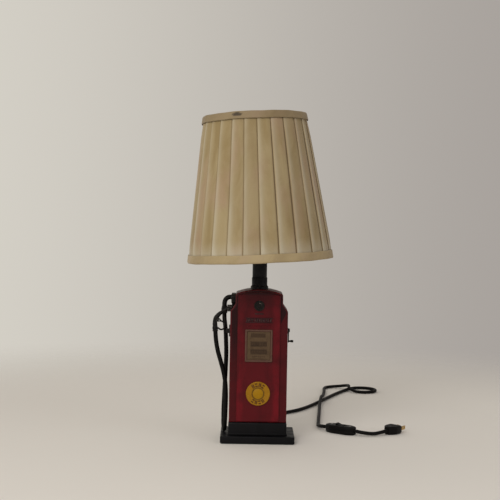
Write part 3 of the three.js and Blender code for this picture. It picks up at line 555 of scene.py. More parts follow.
def cloth(name, body, shadow, pale, blush, fold, weave):
    """Aged satin: slubs along the pleats, patchy yellowing, a painted highlight on each pleat's swell and
    painted shade in its fold gaps, a fine weave.

    Texture space is the flat cloth.
    """
    finish = Finish(name, Roughness=0.6, Sheen_Weight=0.12, Sheen_Roughness=0.4, Specular_IOR_Level=0.3)
    flat = finish.node("ShaderNodeUVMap", uv_map="flat").outputs["UV"]
    aged = finish.ramp(finish.noise(9, 4, 0.6, 0.6, finish.stretched((2.2, 1, 1), flat)), 0.36, 0.7)
    pink = finish.noise(14, 3, 0.5, space=finish.stretched((1.6, 0.8, 1), flat))
    pink = finish.ramp(pink, 0.47, 0.68, 0, 0.7)
    colour = finish.mix(aged, body, shadow)
    colour = finish.mix(pink, colour, blush)
    slub = finish.noise(900, 2, space=finish.stretched((1, 0.03, 1), flat))
    colour = finish.mix(finish.ramp(slub, 0.35, 0.8, 0, 0.22), colour, shadow)
    patchy = finish.noise(26, 3, 0.6, space=finish.stretched((1, 0.25, 1), flat))
    patchy = finish.ramp(patchy, 0.3, 0.7, 0.55, 1)
    # Painted highlight on each pleat's swell beside its fold, with a paler foot and random paleness, in the
    # pale colour.
    colour = finish.mix(finish.math("MULTIPLY", finish.attribute("faded"), patchy), colour, pale)
    # Painted shade in the pleats' fold gaps, in the fold colour; on the tapes the same channel carries a
    # real stain.
    colour = finish.mix(finish.math("POWER", finish.attribute("shaded"), 1.2), colour, fold)
    finish.colour(colour)
    across = finish.waves(520 * weave, "X", flat)
    along = finish.waves(520 * weave, "Y", flat)
    finish.bump(finish.math("ADD", across, along), 0.12, 0.00012)
    finish.bump(slub, 0.25, 0.0002)
    finish.bump(finish.noise(60, 4, 0.6, space=finish.stretched((1, 0.4, 1), flat)), 0.35, 0.0008)
    return finish.material


def felt_finish():
    finish = Finish("felt", Roughness=0.95)
    finish.colour(finish.mix(finish.noise(900, 4), (0.012, 0.02, 0.014), (0.03, 0.045, 0.034)))
    finish.bump(finish.noise(1600, 4), 0.6, 0.0004)
    return finish.material


def frosted_finish():
    depth = (0.01, 0.01, 0.009)
    finish = Finish("frosted_glass", Roughness=0.3, Subsurface_Weight=0.4, Subsurface_Radius=depth)
    finish.colour(finish.mix(finish.noise(60, 3), (0.86, 0.85, 0.8), (0.8, 0.78, 0.72)))
    finish.bump(finish.noise(1500, 2), 0.1, 0.0002)
    return finish.material


# Colours are (body, shadow or dark, ...) in linear light, as each finish function names them.
PAINTS = {
    "black_paint": ((0.0042, 0.0038, 0.0052), (0.002, 0.002, 0.0026), (0.025, 0.022, 0.021), 0.45, 0.15),
    "bar_paint": ((0.03, 0.006, 0.009), (0.012, 0.003, 0.005), (0.08, 0.04, 0.035), 0.38, 0.4),
}
ENAMELS = {
    "cream_plate": ((0.1, 0.062, 0.033), (0.05, 0.026, 0.013), 0.5),
    "bezel": ((0.115, 0.06, 0.043), (0.05, 0.022, 0.014), 0.42),
    "window_line": ((0.06, 0.034, 0.018), (0.03, 0.017, 0.009), 0.5),
    "window_strip": ((0.045, 0.026, 0.014), (0.022, 0.012, 0.007), 0.45),
    "yellow_badge": ((0.34, 0.165, 0.005), (0.2, 0.085, 0.004), 0.42),
    "badge_centre": ((0.36, 0.185, 0.002), (0.28, 0.135, 0.002), 0.42),
    "badge_mark": ((0.095, 0.036, 0.008), (0.05, 0.018, 0.005), 0.5),
    "badge_line": ((0.15, 0.075, 0.006), (0.08, 0.035, 0.005), 0.5),
}
METALS = {
    "steel": ((0.42, 0.42, 0.42), (0.22, 0.2, 0.18)),
    "brass": ((0.6, 0.41, 0.17), (0.32, 0.2, 0.08)),
}
MOULDED = {
    "hose_rubber": ((0.0042, 0.0037, 0.0033), 0.5),
    "cord_jacket": ((0.0042, 0.0032, 0.003), 0.5),
    "switch_plastic": ((0.0055, 0.0048, 0.0046), 0.45),
}
# In the pleats the pale colour is a painted highlight on each swell and the fold colour is painted shade in
# the fold gaps; on the tapes the fold colour marks a stain.
CLOTHS = {
    "shade_fabric": (
        (0.405, 0.315, 0.17), (0.31, 0.225, 0.1), (0.53, 0.475, 0.36), (0.41, 0.28, 0.18),
        (0.16, 0.11, 0.058), 1,
    ),
    "tape": (
        (0.42, 0.32, 0.17), (0.31, 0.225, 0.11), (0.46, 0.38, 0.24), (0.4, 0.29, 0.18),
        (0.09, 0.065, 0.038), 1.1,
    ),
    # A darker tone of the tape, used for the top band.
    "worn_tape": (
        (0.29, 0.215, 0.115), (0.22, 0.155, 0.075), (0.34, 0.27, 0.17), (0.3, 0.21, 0.13),
        (0.07, 0.05, 0.03), 1.1,
    ),
    "lining": (
        (0.72, 0.67, 0.56), (0.62, 0.55, 0.4), (0.74, 0.7, 0.6), (0.68, 0.6, 0.48),
        (0.4, 0.34, 0.25), 1.4,
    ),
}
FINISHES = {}


def make_finishes():
    kinds = ((paint, PAINTS), (enamel, ENAMELS), (metal, METALS), (moulded, MOULDED), (cloth, CLOTHS))
    for make, table in kinds:
        for name, values in table.items():
            FINISHES[name] = make(name, *values)
    FINISHES["red_paint"] = antique_red()
    FINISHES["dark_metal"] = blackened_casting()
    FINISHES["felt"] = felt_finish()
    FINISHES["bulb_glass"] = frosted_finish()


def dress(piece, finish, *replaced, body="root", slot=None):
    """Gives a piece its finish, hides the CAD nodes it stands for and hangs it on its body. slot is not
    used.
    """
    piece.data.materials.clear()
    piece.data.materials.append(FINISHES[finish])
    slot or finish
    if replaced:
        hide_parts(*replaced)
    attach(piece, body)
    return piece


def dress_cad(finish, *nodes):
    """A CAD node that stays gets a full material."""
    for node in nodes:
        NODES[node].data.materials.clear()
        NODES[node].data.materials.append(FINISHES[finish])


# ---------- mains cord and fuel hose ----------

CORD_DIAMETER = 6.0
FLOOR_Z = CORD_DIAMETER / 2 + 0.4
LEAD_Z = 7
COIL_CENTRE = middle("cord_coil")
COIL_JOIN = 225  # degrees, seen from above; the cord runs clockwise from here
COIL_LEAVE = 130
COIL_TURNS = 2
HOSE_DIAMETER = 7.0


def coil_points():
    """Two turns on the table, the second inside the first; its end climbs and leaves over them."""
    total = COIL_TURNS * 360 + COIL_JOIN - COIL_LEAVE
    steps = 30
    points = []
    for i in range(1, steps):
        swept = total * i / steps
        angle = math.radians(COIL_JOIN - swept)
        inward = min(max((swept - 240) / 120, 0), 1)
        climbed = min(max((swept - 500) / 110, 0), 1)
        outward = min(max((swept - 620) / 120, 0), 1)
        radius = 36 - 6.3 * inward + 3.2 * outward
        x, y = COIL_CENTRE.x + radius * math.cos(angle), COIL_CENTRE.y + radius * math.sin(angle)
        points.append((x, y, 4.2 + 6.1 * climbed))
    return points


def cord_route():
    lead = [
        (0, 40, 21), (0, 58.8, 21), (-0.7, 70, 19.4), (-4.4, 85.5, 12), (-8.9, 93.9, 8.2),
        (-15.8, 101.1, 5.2), (-25.5, 110.5, 4.2),
    ]
    run = [
        (-21.2, 161.3, 10.3), (-10, 170.7, 10.3), (1.6, 180.4, 7.8), (25, 196, FLOOR_Z),
        (51, 210, FLOOR_Z), (73, 233, FLOOR_Z), (93, 265, FLOOR_Z), (119.2, 322, FLOOR_Z),
        (154, 405, FLOOR_Z), (177, 453, FLOOR_Z), (193.6, 481.5, FLOOR_Z), (207.8, 493.4, FLOOR_Z),
        (226.2, 493.4, FLOOR_Z), (240.4, 481.5, FLOOR_Z), (243.6, 463.3, FLOOR_Z),
        (234.4, 447.3, FLOOR_Z), (217, 441, FLOOR_Z), (199.6, 447.3, 4.4), (190.2, 464, 8.6),
        (190.6, 479, 9.9), (186.4, 493.1, 8), (173.2, 502.8, 5), (156.8, 502.5, 3.6),
        (145, 493, FLOOR_Z), (140.1, 476.3, FLOOR_Z), (137.5, 440, FLOOR_Z), (132, 394, 3.8),
        (128.8, 368, 6.8), (125.4, 342, 10.2), (121.6, 314, 8), (118.6, 286, 4.2),
        (112.8, 215, FLOOR_Z), (106, 130, FLOOR_Z), (104, 99, 4), (107.2, 82.4, 5.9),
        (115.8, 70.6, LEAD_Z),
    ]
    tail = [
        (138, 55, LEAD_Z), (160.2, 39.4, LEAD_Z), (171.5, 34, 5.9), (190, 33.4, 4.6), (212.1, 46.4, LEAD_Z),
        (216.7, 51.9, LEAD_Z),
    ]
    return [*lead, *coil_points(), *run, *tail]


HOSE_ROUTE = [
    (-55.2, 14, 199.2), (-54.9, 14, 190), (-53.2, 14, 176), (-51.9, 14, 155), (-51.2, 14, 133),
    (-51.9, 14, 107), (-52.8, 14, 86), (-53.6, 14, 64), (-54.2, 14, 46), (-54.2, 13.9, 32),
    (-54, 11.6, 22.6), (-53.4, 6.7, 17.4), (-52.8, 0, 15.9), (-52.2, -6.7, 17.4), (-51.6, -11.6, 22.6),
    (-51, -13.9, 32), (-50.4, -14, 54), (-50.3, -14, 72), (-51.3, -14, 90), (-54.2, -14, 107),
    (-58.8, -14, 124), (-63.8, -14, 141), (-67, -14, 158), (-68.3, -14, 172.6),
]


def add_cord():
    line = smooth_path(cord_route(), 2.5)
    cord = tube("mains_cord", line, CORD_DIAMETER / 2, 14)
    dress(cord, "cord_jacket", "cord_lead", "cord_coil", "cord_run", "cord_tail")


def add_hose():
    line = smooth_path(HOSE_ROUTE, 2)
    hose = tube("fuel_hose_bent", line, HOSE_DIAMETER / 2, 20)
    hose.data.materials.append(FINISHES["hose_rubber"])
    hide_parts("fuel_hose")
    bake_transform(hose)


def laid(heading, x, y):
    """Turns points drawn along +X into the place where a piece lies on the table."""
    turn = Matrix.Rotation(math.radians(heading), 3, "Z")
    return lambda u, v, height: turn @ Vector((u, v, height)) + Vector((x, y, 0))


SWITCH_PLACE = laid(-35, 138, 55)
PLUG_PLACE = laid(50, 212.8, 47.2)


def add_strain_relief():
    high = span("cord_strain_relief")[1]
    start = high.y - 27.9
    profile = [(0, start - 5), (4.3, start - 5), (4.3, start - 0.2), (6.8, start), (7.2, start + 0.5)]
    profile += [(7.2, start + 1.8), (6.6, start + 2.4), (5.5, start + 3.2)]
    ribs = 5
    for i in range(ribs):
        y = start + 4.5 + i * 4.4
        radius = 5.3 - i * 0.24
        profile += [(radius, y), (radius, y + 2.6), (radius - 0.75, y + 3.0), (radius - 0.75, y + 4.0)]
    profile += [(4.0, high.y - 0.8), (3.6, high.y), (3.05, high.y), (3.02, high.y - 6), (0, high.y - 6)]
    centre = (0, 0, middle("cord_strain_relief").z)
    relief = turned("strain_relief", profile, centre, (0, 1, 0), 32)
    return dress(relief, "cord_jacket", "cord_strain_relief")


def add_tie():
    """A soft strap round the coil."""
    low, high = 26.2, 39.8
    section = rounded_rectangle(high - low, 13.6, 3.2)
    middle_radius = (low + high) / 2
    turn = Matrix.Rotation(math.radians(-80), 3, "Z")
    base = Vector((COIL_CENTRE.x, COIL_CENTRE.y, 0))
    outside = [(-0.75, -3.1), (-0.95, -2.6), (-0.95, 2.6), (-0.75, 3.1)]
    inside = [(-0.1, 3.1), (0, 2.6), (0, -2.6), (-0.1, -3.1)]
    loops = []
    for inset, along in outside + inside:
        ring = [base + turn @ Vector((middle_radius + x, along, 7.8 + z)) for x, z in section(inset)]
        loops.append(ring)
    strap = skin("tie_strap", loops, closed=True)
    return dress(strap, "hose_rubber", "cord_tie", slot="cord_jacket")


def switch_outline(inset):
    """Blunt lens, narrowing to the cord at both ends."""
    half, tip, end = 10.5 - inset, 26 - inset, 4.6 - inset * 0.6
    shoulder = 12
    points = []
    corners = [(1, 1), (-1, 1), (-1, -1), (1, -1)]
    for index, (sx, sy) in enumerate(corners):
        arc = []
        for i in range(9):
            t = i / 8
            x = tip - (tip - shoulder) * t
            y = end + (half - end) * math.sin(t * math.pi / 2)
            arc.append((sx * x, sy * y))
        points.extend(arc if index % 2 == 0 else reversed(arc))
    return points


def add_switch():
    lower = block("switch_lower", switch_outline, edge_profile(0.3, 7.2, 0.3, 3, 1.6), SWITCH_PLACE)
    upper = block("switch_upper", switch_outline, edge_profile(7.5, 13.6, 2.2, 5, 0.3), SWITCH_PLACE)
    pocket = block("switch_pocket", rounded_rectangle(15.8, 10.6, 1), [(0, 8.2), (0, 20)], SWITCH_PLACE)
    upper = cut_away(upper, pocket)
    screws = []
    for x in (-17, 17):
        centre = SWITCH_PLACE(x, 0, 0)
        ring = [(0, 12.6), (2.1, 12.6), (2.1, 13.75), (1.6, 13.95), (0, 13.95)]
        screws.append(turned(f"switch_screw_{'a' if x < 0 else 'b'}", ring, centre, count=20))
    lower = dress(lower, "switch_plastic", "switch_housing")
    upper = dress(upper, "switch_plastic", "switch_housing")
    for screw in screws:
        dress(screw, "steel")
    top = []
    for i in range(13):
        x = -7.3 + 14.6 * i / 12
        top.append((x, 14.45 - x * 0.135 + 0.045 * x * x * 0.5))
    outline = [(-7.1, 9.9), (0, 8.9), (7.1, 9.9), *reversed(top)]

    def profile(inset):
        return [(x * (1 - inset / 8), z - (inset * 0.8 if z > 12 else -inset * 0.3)) for x, z in outline]

    loops = [
        [SWITCH_PLACE(x, along, z) for x, z in profile(inset)]
        for inset, along in [(0.5, -4.9), (0.12, -4.7), (0, -4.3), (0, 4.3), (0.12, 4.7), (0.5, 4.9)]
    ]
    rocker = dress(skin("rocker_key", loops), "switch_plastic", "switch_rocker", body="rocker")
    return [lower, upper, rocker, *screws]


def plug_outline(inset):
    length, half, neck = 28 - inset, 12 - inset, 4.4 - inset * 0.5
    side = [(inset * 0.6, neck)]
    for i in range(1, 9):
        t = i / 8
        side.append((12 * t, neck + (half - neck) * (3 * t * t - 2 * t ** 3)))
    side += [(length - 3, half), (length - 1, half - 0.6), (length, half - 2.2)]
    return side + [(x, -y) for x, y in reversed(side)]


def add_plug():
    body = block("plug_shell", plug_outline, edge_profile(0.3, 13.7, 3.0, 6), PLUG_PLACE)
    grips = []
    for level in (0.1, 13.9):
        for i in range(4):
            outline = rounded_rectangle(1.0, 13, 0.45, 3)
            x = 14 + i * 2.6

            def lift(u, v, height, x=x):
                return PLUG_PLACE(u + x, v, height)

            grips.append(block("grip", outline, [(0, level - 0.7), (0, level + 0.7)], lift))
    body = dress(cut_away(body, *grips), "switch_plastic", "plug_body")
    blades = []
    for index, side in enumerate((-1, 1)):
        outline = rounded_rectangle(6.3, 1.5, 0.3, 2)
        hole = turned("blade_hole", [(1.5, -3), (1.5, 3)], PLUG_PLACE(41.5, side * 6.35, LEAD_Z),
                      PLUG_PLACE(0, 1, 0) - PLUG_PLACE(0, 0, 0), 20)
        steps = [(0.25, 26), (0.25, 28.2), (0, 28.4), (0, 44), (0.15, 45), (0.5, 45.5)]

        def lift(u, v, height, side=side):
            return PLUG_PLACE(height, side * 6.35 + v, LEAD_Z + u)

        blade = cut_away(block(f"plug_pin_{index + 1}", outline, steps, lift), hole)
        blades.append(dress(blade, "brass", f"plug_blade_{index + 1}"))
    return [body, *blades]


# ---------- shade ----------

SHADE_TOP, SHADE_BOTTOM = 512.7, 284.8
TOP_RADIUS, BOTTOM_RADIUS = 79.8, 113.4
WIRE = 1.3
WIRE_INSET = 3.6
TOP_WIRE_Z, BOTTOM_WIRE_Z = SHADE_TOP - 2, SHADE_BOTTOM + 2.1
PLEATS = 25
PLEAT_CLOTH = 34.0
PLEAT_RELIEF = 2.3
TOP_TAPE, BOTTOM_TAPE = 11.0, 12.5


def cone_radius(z):
    share = (z - SHADE_BOTTOM) / (SHADE_TOP - SHADE_BOTTOM)
    return BOTTOM_RADIUS + (TOP_RADIUS - BOTTOM_RADIUS) * share


def cloth_object(name, rows, flat_rows, tone_rows, thickness):
    """A cloth band from rows of points, with its flat place and its (shaded, faded) tones at each point."""
    count = len(rows[0])
    points = [p for row in rows for p in row]
    piece = mesh_object(name, points, strip_faces(len(rows), count), 180)
    mesh = piece.data
    flat_layer = mesh.uv_layers.new(name="flat")
    flats = [f for row in flat_rows for f in row]
    for polygon in mesh.polygons:
        columns = [v % count for v in polygon.vertices]
        wraps = max(columns) - min(columns) > 1
        for loop, vertex in zip(polygon.loop_indices, polygon.vertices):
            u, v = flats[vertex]
            if wraps and vertex % count == 0:
                u = flats[vertex + count - 1][0] + (flats[vertex + 1][0] - flats[vertex][0])
            flat_layer.data[loop].uv = (u * MM, v * MM)
    for index, attribute in enumerate(("shaded", "faded")):
        values = np.array([tones[index] for row in tone_rows for tones in row], np.float32)
        mesh.attributes.new(attribute, "FLOAT", "POINT").data.foreach_set("value", values)
    solid = piece.modifiers.new("thickness", "SOLIDIFY")
    solid.thickness = thickness * MM
    solid.offset = 0
    return baked(piece)


def pleat_section(underlap):
    """One knife pleat from its outer fold to the next, as (share of the pitch, height, shaded, faded).

    The face swells just right of the fold, sinks towards the next one and tucks under it. The third value is
    painted shade in the gap at each fold, the fourth a painted highlight on the swell beside it.
    """
    face = [
        (0.0, 0.1, 1.0, 0.0), (0.006, 0.45, 0.55, 0.1), (0.022, 0.78, 0.1, 0.5), (0.055, 0.96, 0, 0.85),
        (0.1, 1.0, 0, 1.0), (0.16, 0.95, 0, 0.85), (0.24, 0.83, 0, 0.5), (0.34, 0.7, 0.03, 0.22),
        (0.46, 0.6, 0.06, 0.08), (0.58, 0.54, 0.08, 0), (0.7, 0.48, 0.08, 0), (0.81, 0.38, 0.05, 0.05),
        (0.9, 0.24, 0.06, 0.1), (0.955, 0.08, 0.4, 0), (0.985, -0.05, 0.85, 0), (1.0, -0.12, 1, 0),
    ]
    tucked = [
        (1 + underlap * 0.5, -0.2, 1, 0), (1 + underlap, -0.24, 1, 0), (1 + underlap * 1.04, -0.12, 1, 0),
        (1 + underlap * 0.9, 0.02, 1, 0), (1 + underlap * 0.4, 0.06, 1, 0), (1.004, 0.02, 1, 0),
    ]
    return face + tucked, len(face)


def add_shade_cloth():
    rng = random.Random(11)
    edges = [0.0]
    for _ in range(PLEATS):
        edges.append(edges[-1] + 1 + rng.uniform(-0.09, 0.09))
    edges = [e / edges[-1] for e in edges]
    pleats = [
        {
            "drift": rng.uniform(-1, 1), "shade": rng.uniform(0, 0.2), "bow": rng.uniform(-0.6, 0.6),
            "fade": rng.uniform(0.5, 1), "phase": rng.uniform(0, TAU), "ripple": rng.uniform(0.1, 0.34),
        }
        for _ in range(PLEATS)
    ]
    low, high = SHADE_BOTTOM + 2, SHADE_TOP - 2
    levels = 54
    twist = 0.036  # the pleats slant a little to the right towards the top
    rows, flats, tones = [], [], []
    for level in range(levels):
        share = level / (levels - 1)
        z = low + (high - low) * share
        radius = cone_radius(z)
        pitch = TAU * radius / PLEATS
        underlap = (PLEAT_CLOTH - pitch) / 2 / pitch
        # The tapes press the pleats flat at both ends.
        relief = PLEAT_RELIEF * min(1, 0.4 + min(share * 5, (1 - share) * 4))
        middle_swell = math.sin(share * math.pi)
        row, flat, tone = [], [], []
        for i, pleat in enumerate(pleats):
            start, width = edges[i], edges[i + 1] - edges[i]
            drift = 0.0011 * pleat["drift"] * middle_swell
            section, face_points = pleat_section(underlap)
            for j, (u, height, shaded, faded) in enumerate(section):
                angle = TAU * (start + width * u + drift) + twist * share - math.pi / 2
                across = math.sin(min(u, 1) * math.pi)
                crease = pleat["ripple"] * math.sin(u * 8 + pleat["phase"] + share * 9) * across
                lift = height * relief - 0.7 + (pleat["bow"] * middle_swell + crease) * across
                r = radius + lift
                row.append((r * math.cos(angle), r * math.sin(angle), z))
                travel = u if j < face_points else 2 * (1 + underlap) - u
                flat.append(((i + travel / (1 + 2 * underlap)) * PLEAT_CLOTH, z))
                # The pale tone is the painted highlight on each pleat's swell, its strength random per
                # pleat, plus paler cloth towards the bottom outside the fold gaps.
                foot = max(0, 1 - share * 7)
                fade = faded * pleat["fade"] * (1 - 0.4 * share) + 0.95 * foot * (shaded < 0.3)
                tone.append((min(1, shaded + pleat["shade"]), min(1, fade)))
        rows.append(leaning(row))
        flats.append(flat)
        tones.append(tone)
    cloth_piece = cloth_object("pleated_cloth", rows, flats, tones, 0.3)
    dress(cloth_piece, "shade_fabric", "shade_fabric", body="shade")


def add_band(name, profile, seed, finish, stain=None):
    """A cloth band about the shade's axis, with small uneven puckers. stain is (angle, height, size)."""
    rng = random.Random(seed)
    count = 240
    phases = [rng.uniform(0, TAU) for _ in range(4)]
    rows, flats, tones = [], [], []
    run = 0.0
    for index, (offset, z) in enumerate(profile):
        if index:
            before = profile[index - 1]
            run += math.hypot(offset - before[0], z - before[1])
        row, flat, tone = [], [], []
        for j in range(count):
            angle = TAU * j / count
            wobble = 0.14 * math.sin(25 * angle + phases[0])
            wobble += 0.1 * math.sin(61 * angle + phases[1] + z * 0.3)
            rise = 0.22 * math.sin(7 * angle + phases[2]) + 0.12 * math.sin(17 * angle + phases[3])
            r = cone_radius(z) + offset + wobble * (1 if offset > 0 else 0.4)
            mark = 0.0
            if stain and offset > 0:
                across = (angle - stain[0]) * r / stain[2]
                mark = max(0.0, 1 - across * across - ((z - stain[1]) / 3.0) ** 2)
                r -= 0.5 * mark
            row.append((r * math.cos(angle), r * math.sin(angle), z + rise))
            flat.append((angle * cone_radius(z), run))
            # On a tape the first tone is the stain mark, a real stain, and the second a small even paleness.
            tone.append((min(1, mark * 3), 0.25))
        rows.append(leaning(row))
        flats.append(flat)
        tones.append(tone)
    band = cloth_object(name, rows, flats, tones, 0.45)
    dress(band, finish, body="shade", slot="shade_fabric")
    widest = TAU * cone_radius(profile[0][1])
    narrowest = TAU * cone_radius(profile[-1][1])
    return band


def add_shade_tapes():
    top, bottom = SHADE_TOP, SHADE_BOTTOM
    over = [(1.5, top - TOP_TAPE + 0.2), (2.2, top - TOP_TAPE), (2.3, top - TOP_TAPE + 1), (2.1, top - 8)]
    over += [(2.05, top - 6), (2.05, top - 4), (1.95, top - 2), (1.6, top - 0.7), (0.8, top)]
    over += [(-0.8, top + 0.25), (-2.6, top - 0.2), (-5.2, top - 1.2), (-5.4, top - 3), (-5.3, top - 7.5)]
    stain = (TAU * 0.697, top - 4.4, 9)
    add_band("top_tape", over, 3, "worn_tape", stain)
    under = [(1.3, bottom + BOTTOM_TAPE - 0.2), (1.75, bottom + BOTTOM_TAPE)]
    under += [(1.95, bottom + BOTTOM_TAPE - 1)]
    under += [(1.8, bottom + 8), (1.8, bottom + 5), (1.75, bottom + 2.4), (1.4, bottom + 0.9)]
    under += [(0.6, bottom + 0.1)]
    under += [(-1, bottom - 0.2), (-3.4, bottom - 0.1), (-5.6, bottom + 0.7), (-5.7, bottom + 3)]
    under += [(-5.3, bottom + 9)]
    add_band("bottom_tape", under, 5, "tape")


def add_lining():
    """A smooth lining inside the frame's wires."""
    profile = []
    steps = 14
    for i in range(steps + 1):
        share = i / steps
        z = SHADE_BOTTOM + 4 + (SHADE_TOP - SHADE_BOTTOM - 8) * share
        profile.append((-5.6 - 0.5 * math.sin(share * math.pi), z))
    add_band("shade_lining", profile, 9, "lining")


def add_shade_frame():
    """Two wire rings, the spider's arms and its hub."""
    rings = (("top_wire", TOP_WIRE_Z, []), ("bottom_wire", BOTTOM_WIRE_Z, ["shade_bottom_ring"]))
    for name, z, replaced in rings:
        radius = cone_radius(z) - WIRE_INSET
        ring = closed_tube(name, leaning([(x, y, z) for x, y in circle(radius, 96)]), WIRE)
        dress(ring, "steel", *replaced, body="shade")
    hub_z = SHADE_TOP - 13.1
    for i in range(3):
        angle = math.pi / 2 + TAU * i / 3
        reach = cone_radius(TOP_WIRE_Z) - WIRE_INSET
        rise = [(7, 0.9), (20, 1.1), (38, 2), (56, 5.2), (70, 9.4), (reach, 11.1)]
        points = [(r * math.cos(angle), r * math.sin(angle), hub_z + z) for r, z in rise]
        arm = tube(f"spider_arm_{i + 1}", smooth_path(leaning(points), 3), WIRE, 12)
        dress(arm, "steel", body="shade")
    profile = [(3.4, 0.1), (7.9, 0), (8.5, 0.3), (8.5, 1.4), (7.9, 1.7), (3.4, 1.7)]
    hub = turned_ring("spider_hub", [(r, hub_z + z) for r, z in profile], 48, leaning)
    dress(hub, "steel", "shade_top_frame", body="shade")


def add_finial():
    profile = [(3.3, 0.1), (5.4, 0), (6.2, 0.7), (6.4, 1.7), (5.2, 3), (4.7, 4.6), (4.9, 6.1), (5.9, 8.1)]
    profile += [(6.4, 10.3), (6.1, 12.7), (5.0, 14.9), (3.0, 16.5), (0, 17.1)]
    foot = SHADE_TOP - 11.1
    profile = [(r, foot + z) for r, z in profile]
    knob = turned("finial_knob", profile, count=40, place=leaning, smooth_angle=40)
    dress(knob, "brass", "finial", body="finial")


# ---------- harp, socket, bulb ----------


def add_harp():
    crown = SHADE_TOP - 17
    side = [(-30.2, 299), (-32.2, 316), (-48, 356), (-54, 400), (-49, 444), (-36, 474), (-15, 493)]
    points = [(x, 0, z) for x, z in side] + [(0, 0, crown)] + [(-x, 0, z) for x, z in reversed(side)]
    wire = tube("harp_wire", smooth_path(leaning(points), 4), 2, 14)
    dress(wire, "brass", "harp")
    for index, x in enumerate((-30.2, 30.2)):
        profile = [(2.2, 297), (3.0, 297.3), (3.1, 298), (3.1, 306), (2.8, 306.6), (3.1, 307.4)]
        profile += [(3.1, 310.4)]
        profile.append((2.1, 311))
        sleeve = turned(f"harp_sleeve_{index + 1}", profile, (x, 0, 0), count=24, place=leaning)
        dress(sleeve, "brass")
    stud = [(0, -0.5), (4, 0), (5.5, 1.4), (5.5, 3.4), (2.9, 3.6)]
    for i in range(14):
        z = 3.8 + i * 0.75
        stud += [(2.95, z), (2.6, z + 0.37)]
    stud += [(2.4, 14.4), (0, 14.4)]
    stud = [(r, crown + z) for r, z in stud]
    dress(turned("harp_stud", stud, count=28, place=leaning), "brass")


def add_socket_and_bulb():
    cap = [(5.2, 298), (8.6, 297.5), (9, 298.2), (9.6, 300.4), (11, 302), (14.5, 304.5), (17.6, 307)]
    cap += [(18.8, 309.4)]
    cap += [(19, 311), (19.4, 311.4), (19.4, 312.6), (19, 313), (19, 315.8), (17.8, 315.8), (17.7, 309.8)]
    cap += [(9, 303), (5.2, 302)]
    dress(turned_ring("socket_cap_shell", cap, 56), "brass", "socket_cap")
    shell = [(16.6, 316.6), (18.4, 316.4), (18.4, 322)]
    for i in range(5):
        z = 323 + i * 2.4
        shell += [(18.4, z), (18.75, z + 0.5), (18.75, z + 1.2), (18.4, z + 1.7)]
    shell += [(18.4, 350.6), (18.8, 351.2), (18.8, 352), (17.4, 352), (16.6, 351)]
    dress(turned_ring("socket_body", shell, 56), "brass", "socket_shell")
    base = [(0, 324), (4, 324), (4.4, 324.6), (7.5, 327), (9, 329)]
    for i in range(6):
        z = 330 + i * 3.4
        base += [(12.4, z), (13, z + 0.9), (13, z + 1.6), (12.4, z + 2.6)]
    base += [(12.9, 351), (12.9, 352.1), (0, 352.1)]
    dress(turned("bulb_screw", base, count=40), "steel", "bulb_base", body="bulb")
    glass = [(0, 352.3), (12.6, 352.4), (13.4, 353), (14, 358), (15.4, 366), (18, 376), (21.6, 387)]
    glass += [(25.2, 398)]
    glass += [(28.2, 409), (29.7, 418), (30, 424), (29.2, 431), (26.9, 438), (23, 444), (17.6, 448.4)]
    glass += [(11, 451)]
    glass += [(5, 451.9), (0, 452)]
    dress(turned("bulb_globe", glass, count=56, smooth_angle=60), "bulb_glass", "bulb_glass", body="bulb")


# ---------- base and cabinet ----------

CABINET = {
    "side": 45, "head": 37, "bottom": 32.3, "shoulder": 206, "head_bottom": 217, "head_side": 229.5,
    "corner": 33, "dome_top": 240, "dome_radius": 99.3,
}


def dome_height(x, inset):
    radius = CABINET["dome_radius"] - inset
    return CABINET["dome_top"] - CABINET["dome_radius"] + math.sqrt(radius * radius - x * x)


def cabinet_outline(bottom, soften=1.6):
    """Front outline of the pump: box, sloped shoulders, domed head. Inner and outer bends are softened."""

    def corner(before, at, after, radius, steps=4):
        a, b, c = Vector(before), Vector(at), Vector(after)
        start = b + (a - b).normalized() * radius
        end = b + (c - b).normalized() * radius
        return [
            tuple(start * (1 - t) ** 2 + b * 2 * t * (1 - t) + end * t * t)
            for t in [i / steps for i in range(steps + 1)]
        ]

    def outline(inset):
        side, head = CABINET["side"] - inset, CABINET["head"] - inset
        drop = inset * 0.325
        shoulder, neck = CABINET["shoulder"] - drop, CABINET["head_bottom"] - drop
        corner_x = CABINET["corner"] - inset * 0.9
        corner_z = dome_height(corner_x, inset)
        top = CABINET["head_side"] - inset
        foot = bottom + inset
        right = [(side, foot)]
        right += corner((side, foot), (side, shoulder), (head, neck), soften)
        right += corner((side, shoulder), (head, neck), (head, top), soften)
        right += corner((head, neck), (head, corner_z - 0.4), (corner_x, corner_z), 4.4, 6)
        steps = 10
        dome = [corner_x * (1 - i / steps) for i in range(1, steps)]
        right += [(x, dome_height(x, inset)) for x in dome]
        left = [(-x, z) for x, z in reversed(right)]
        return right + [(0, dome_height(0, inset))] + left

    return outline


def add_base():
    dress_cad("felt", "felt_pad")
    low, high = span("base_slab")
    outline = rounded_rectangle(high.x - low.x, high.y - low.y, 2.2)
    slab = block("base_plinth", outline, edge_profile(low.z, high.z, 1.3, 4, 0.6), upright)
    dress(slab, "black_paint", "base_slab")
    low, high = span("base_skirt")
    outline = rounded_rectangle(high.x - low.x, high.y - low.y, 2.4)
    profile = [(0.0, low.z), (-0.5, low.z + 0.3), (-0.5, low.z + 2.2), (0.1, low.z + 3.0)]
    profile += [(0.1, high.z - 2.4)]
    profile += [(0.25, high.z - 1.6), (0.7, high.z - 0.7), (1.6, high.z - 0.1), (2.4, high.z)]
    skirt = block("base_step", outline, profile, upright)
    dress(skirt, "black_paint", "base_skirt")


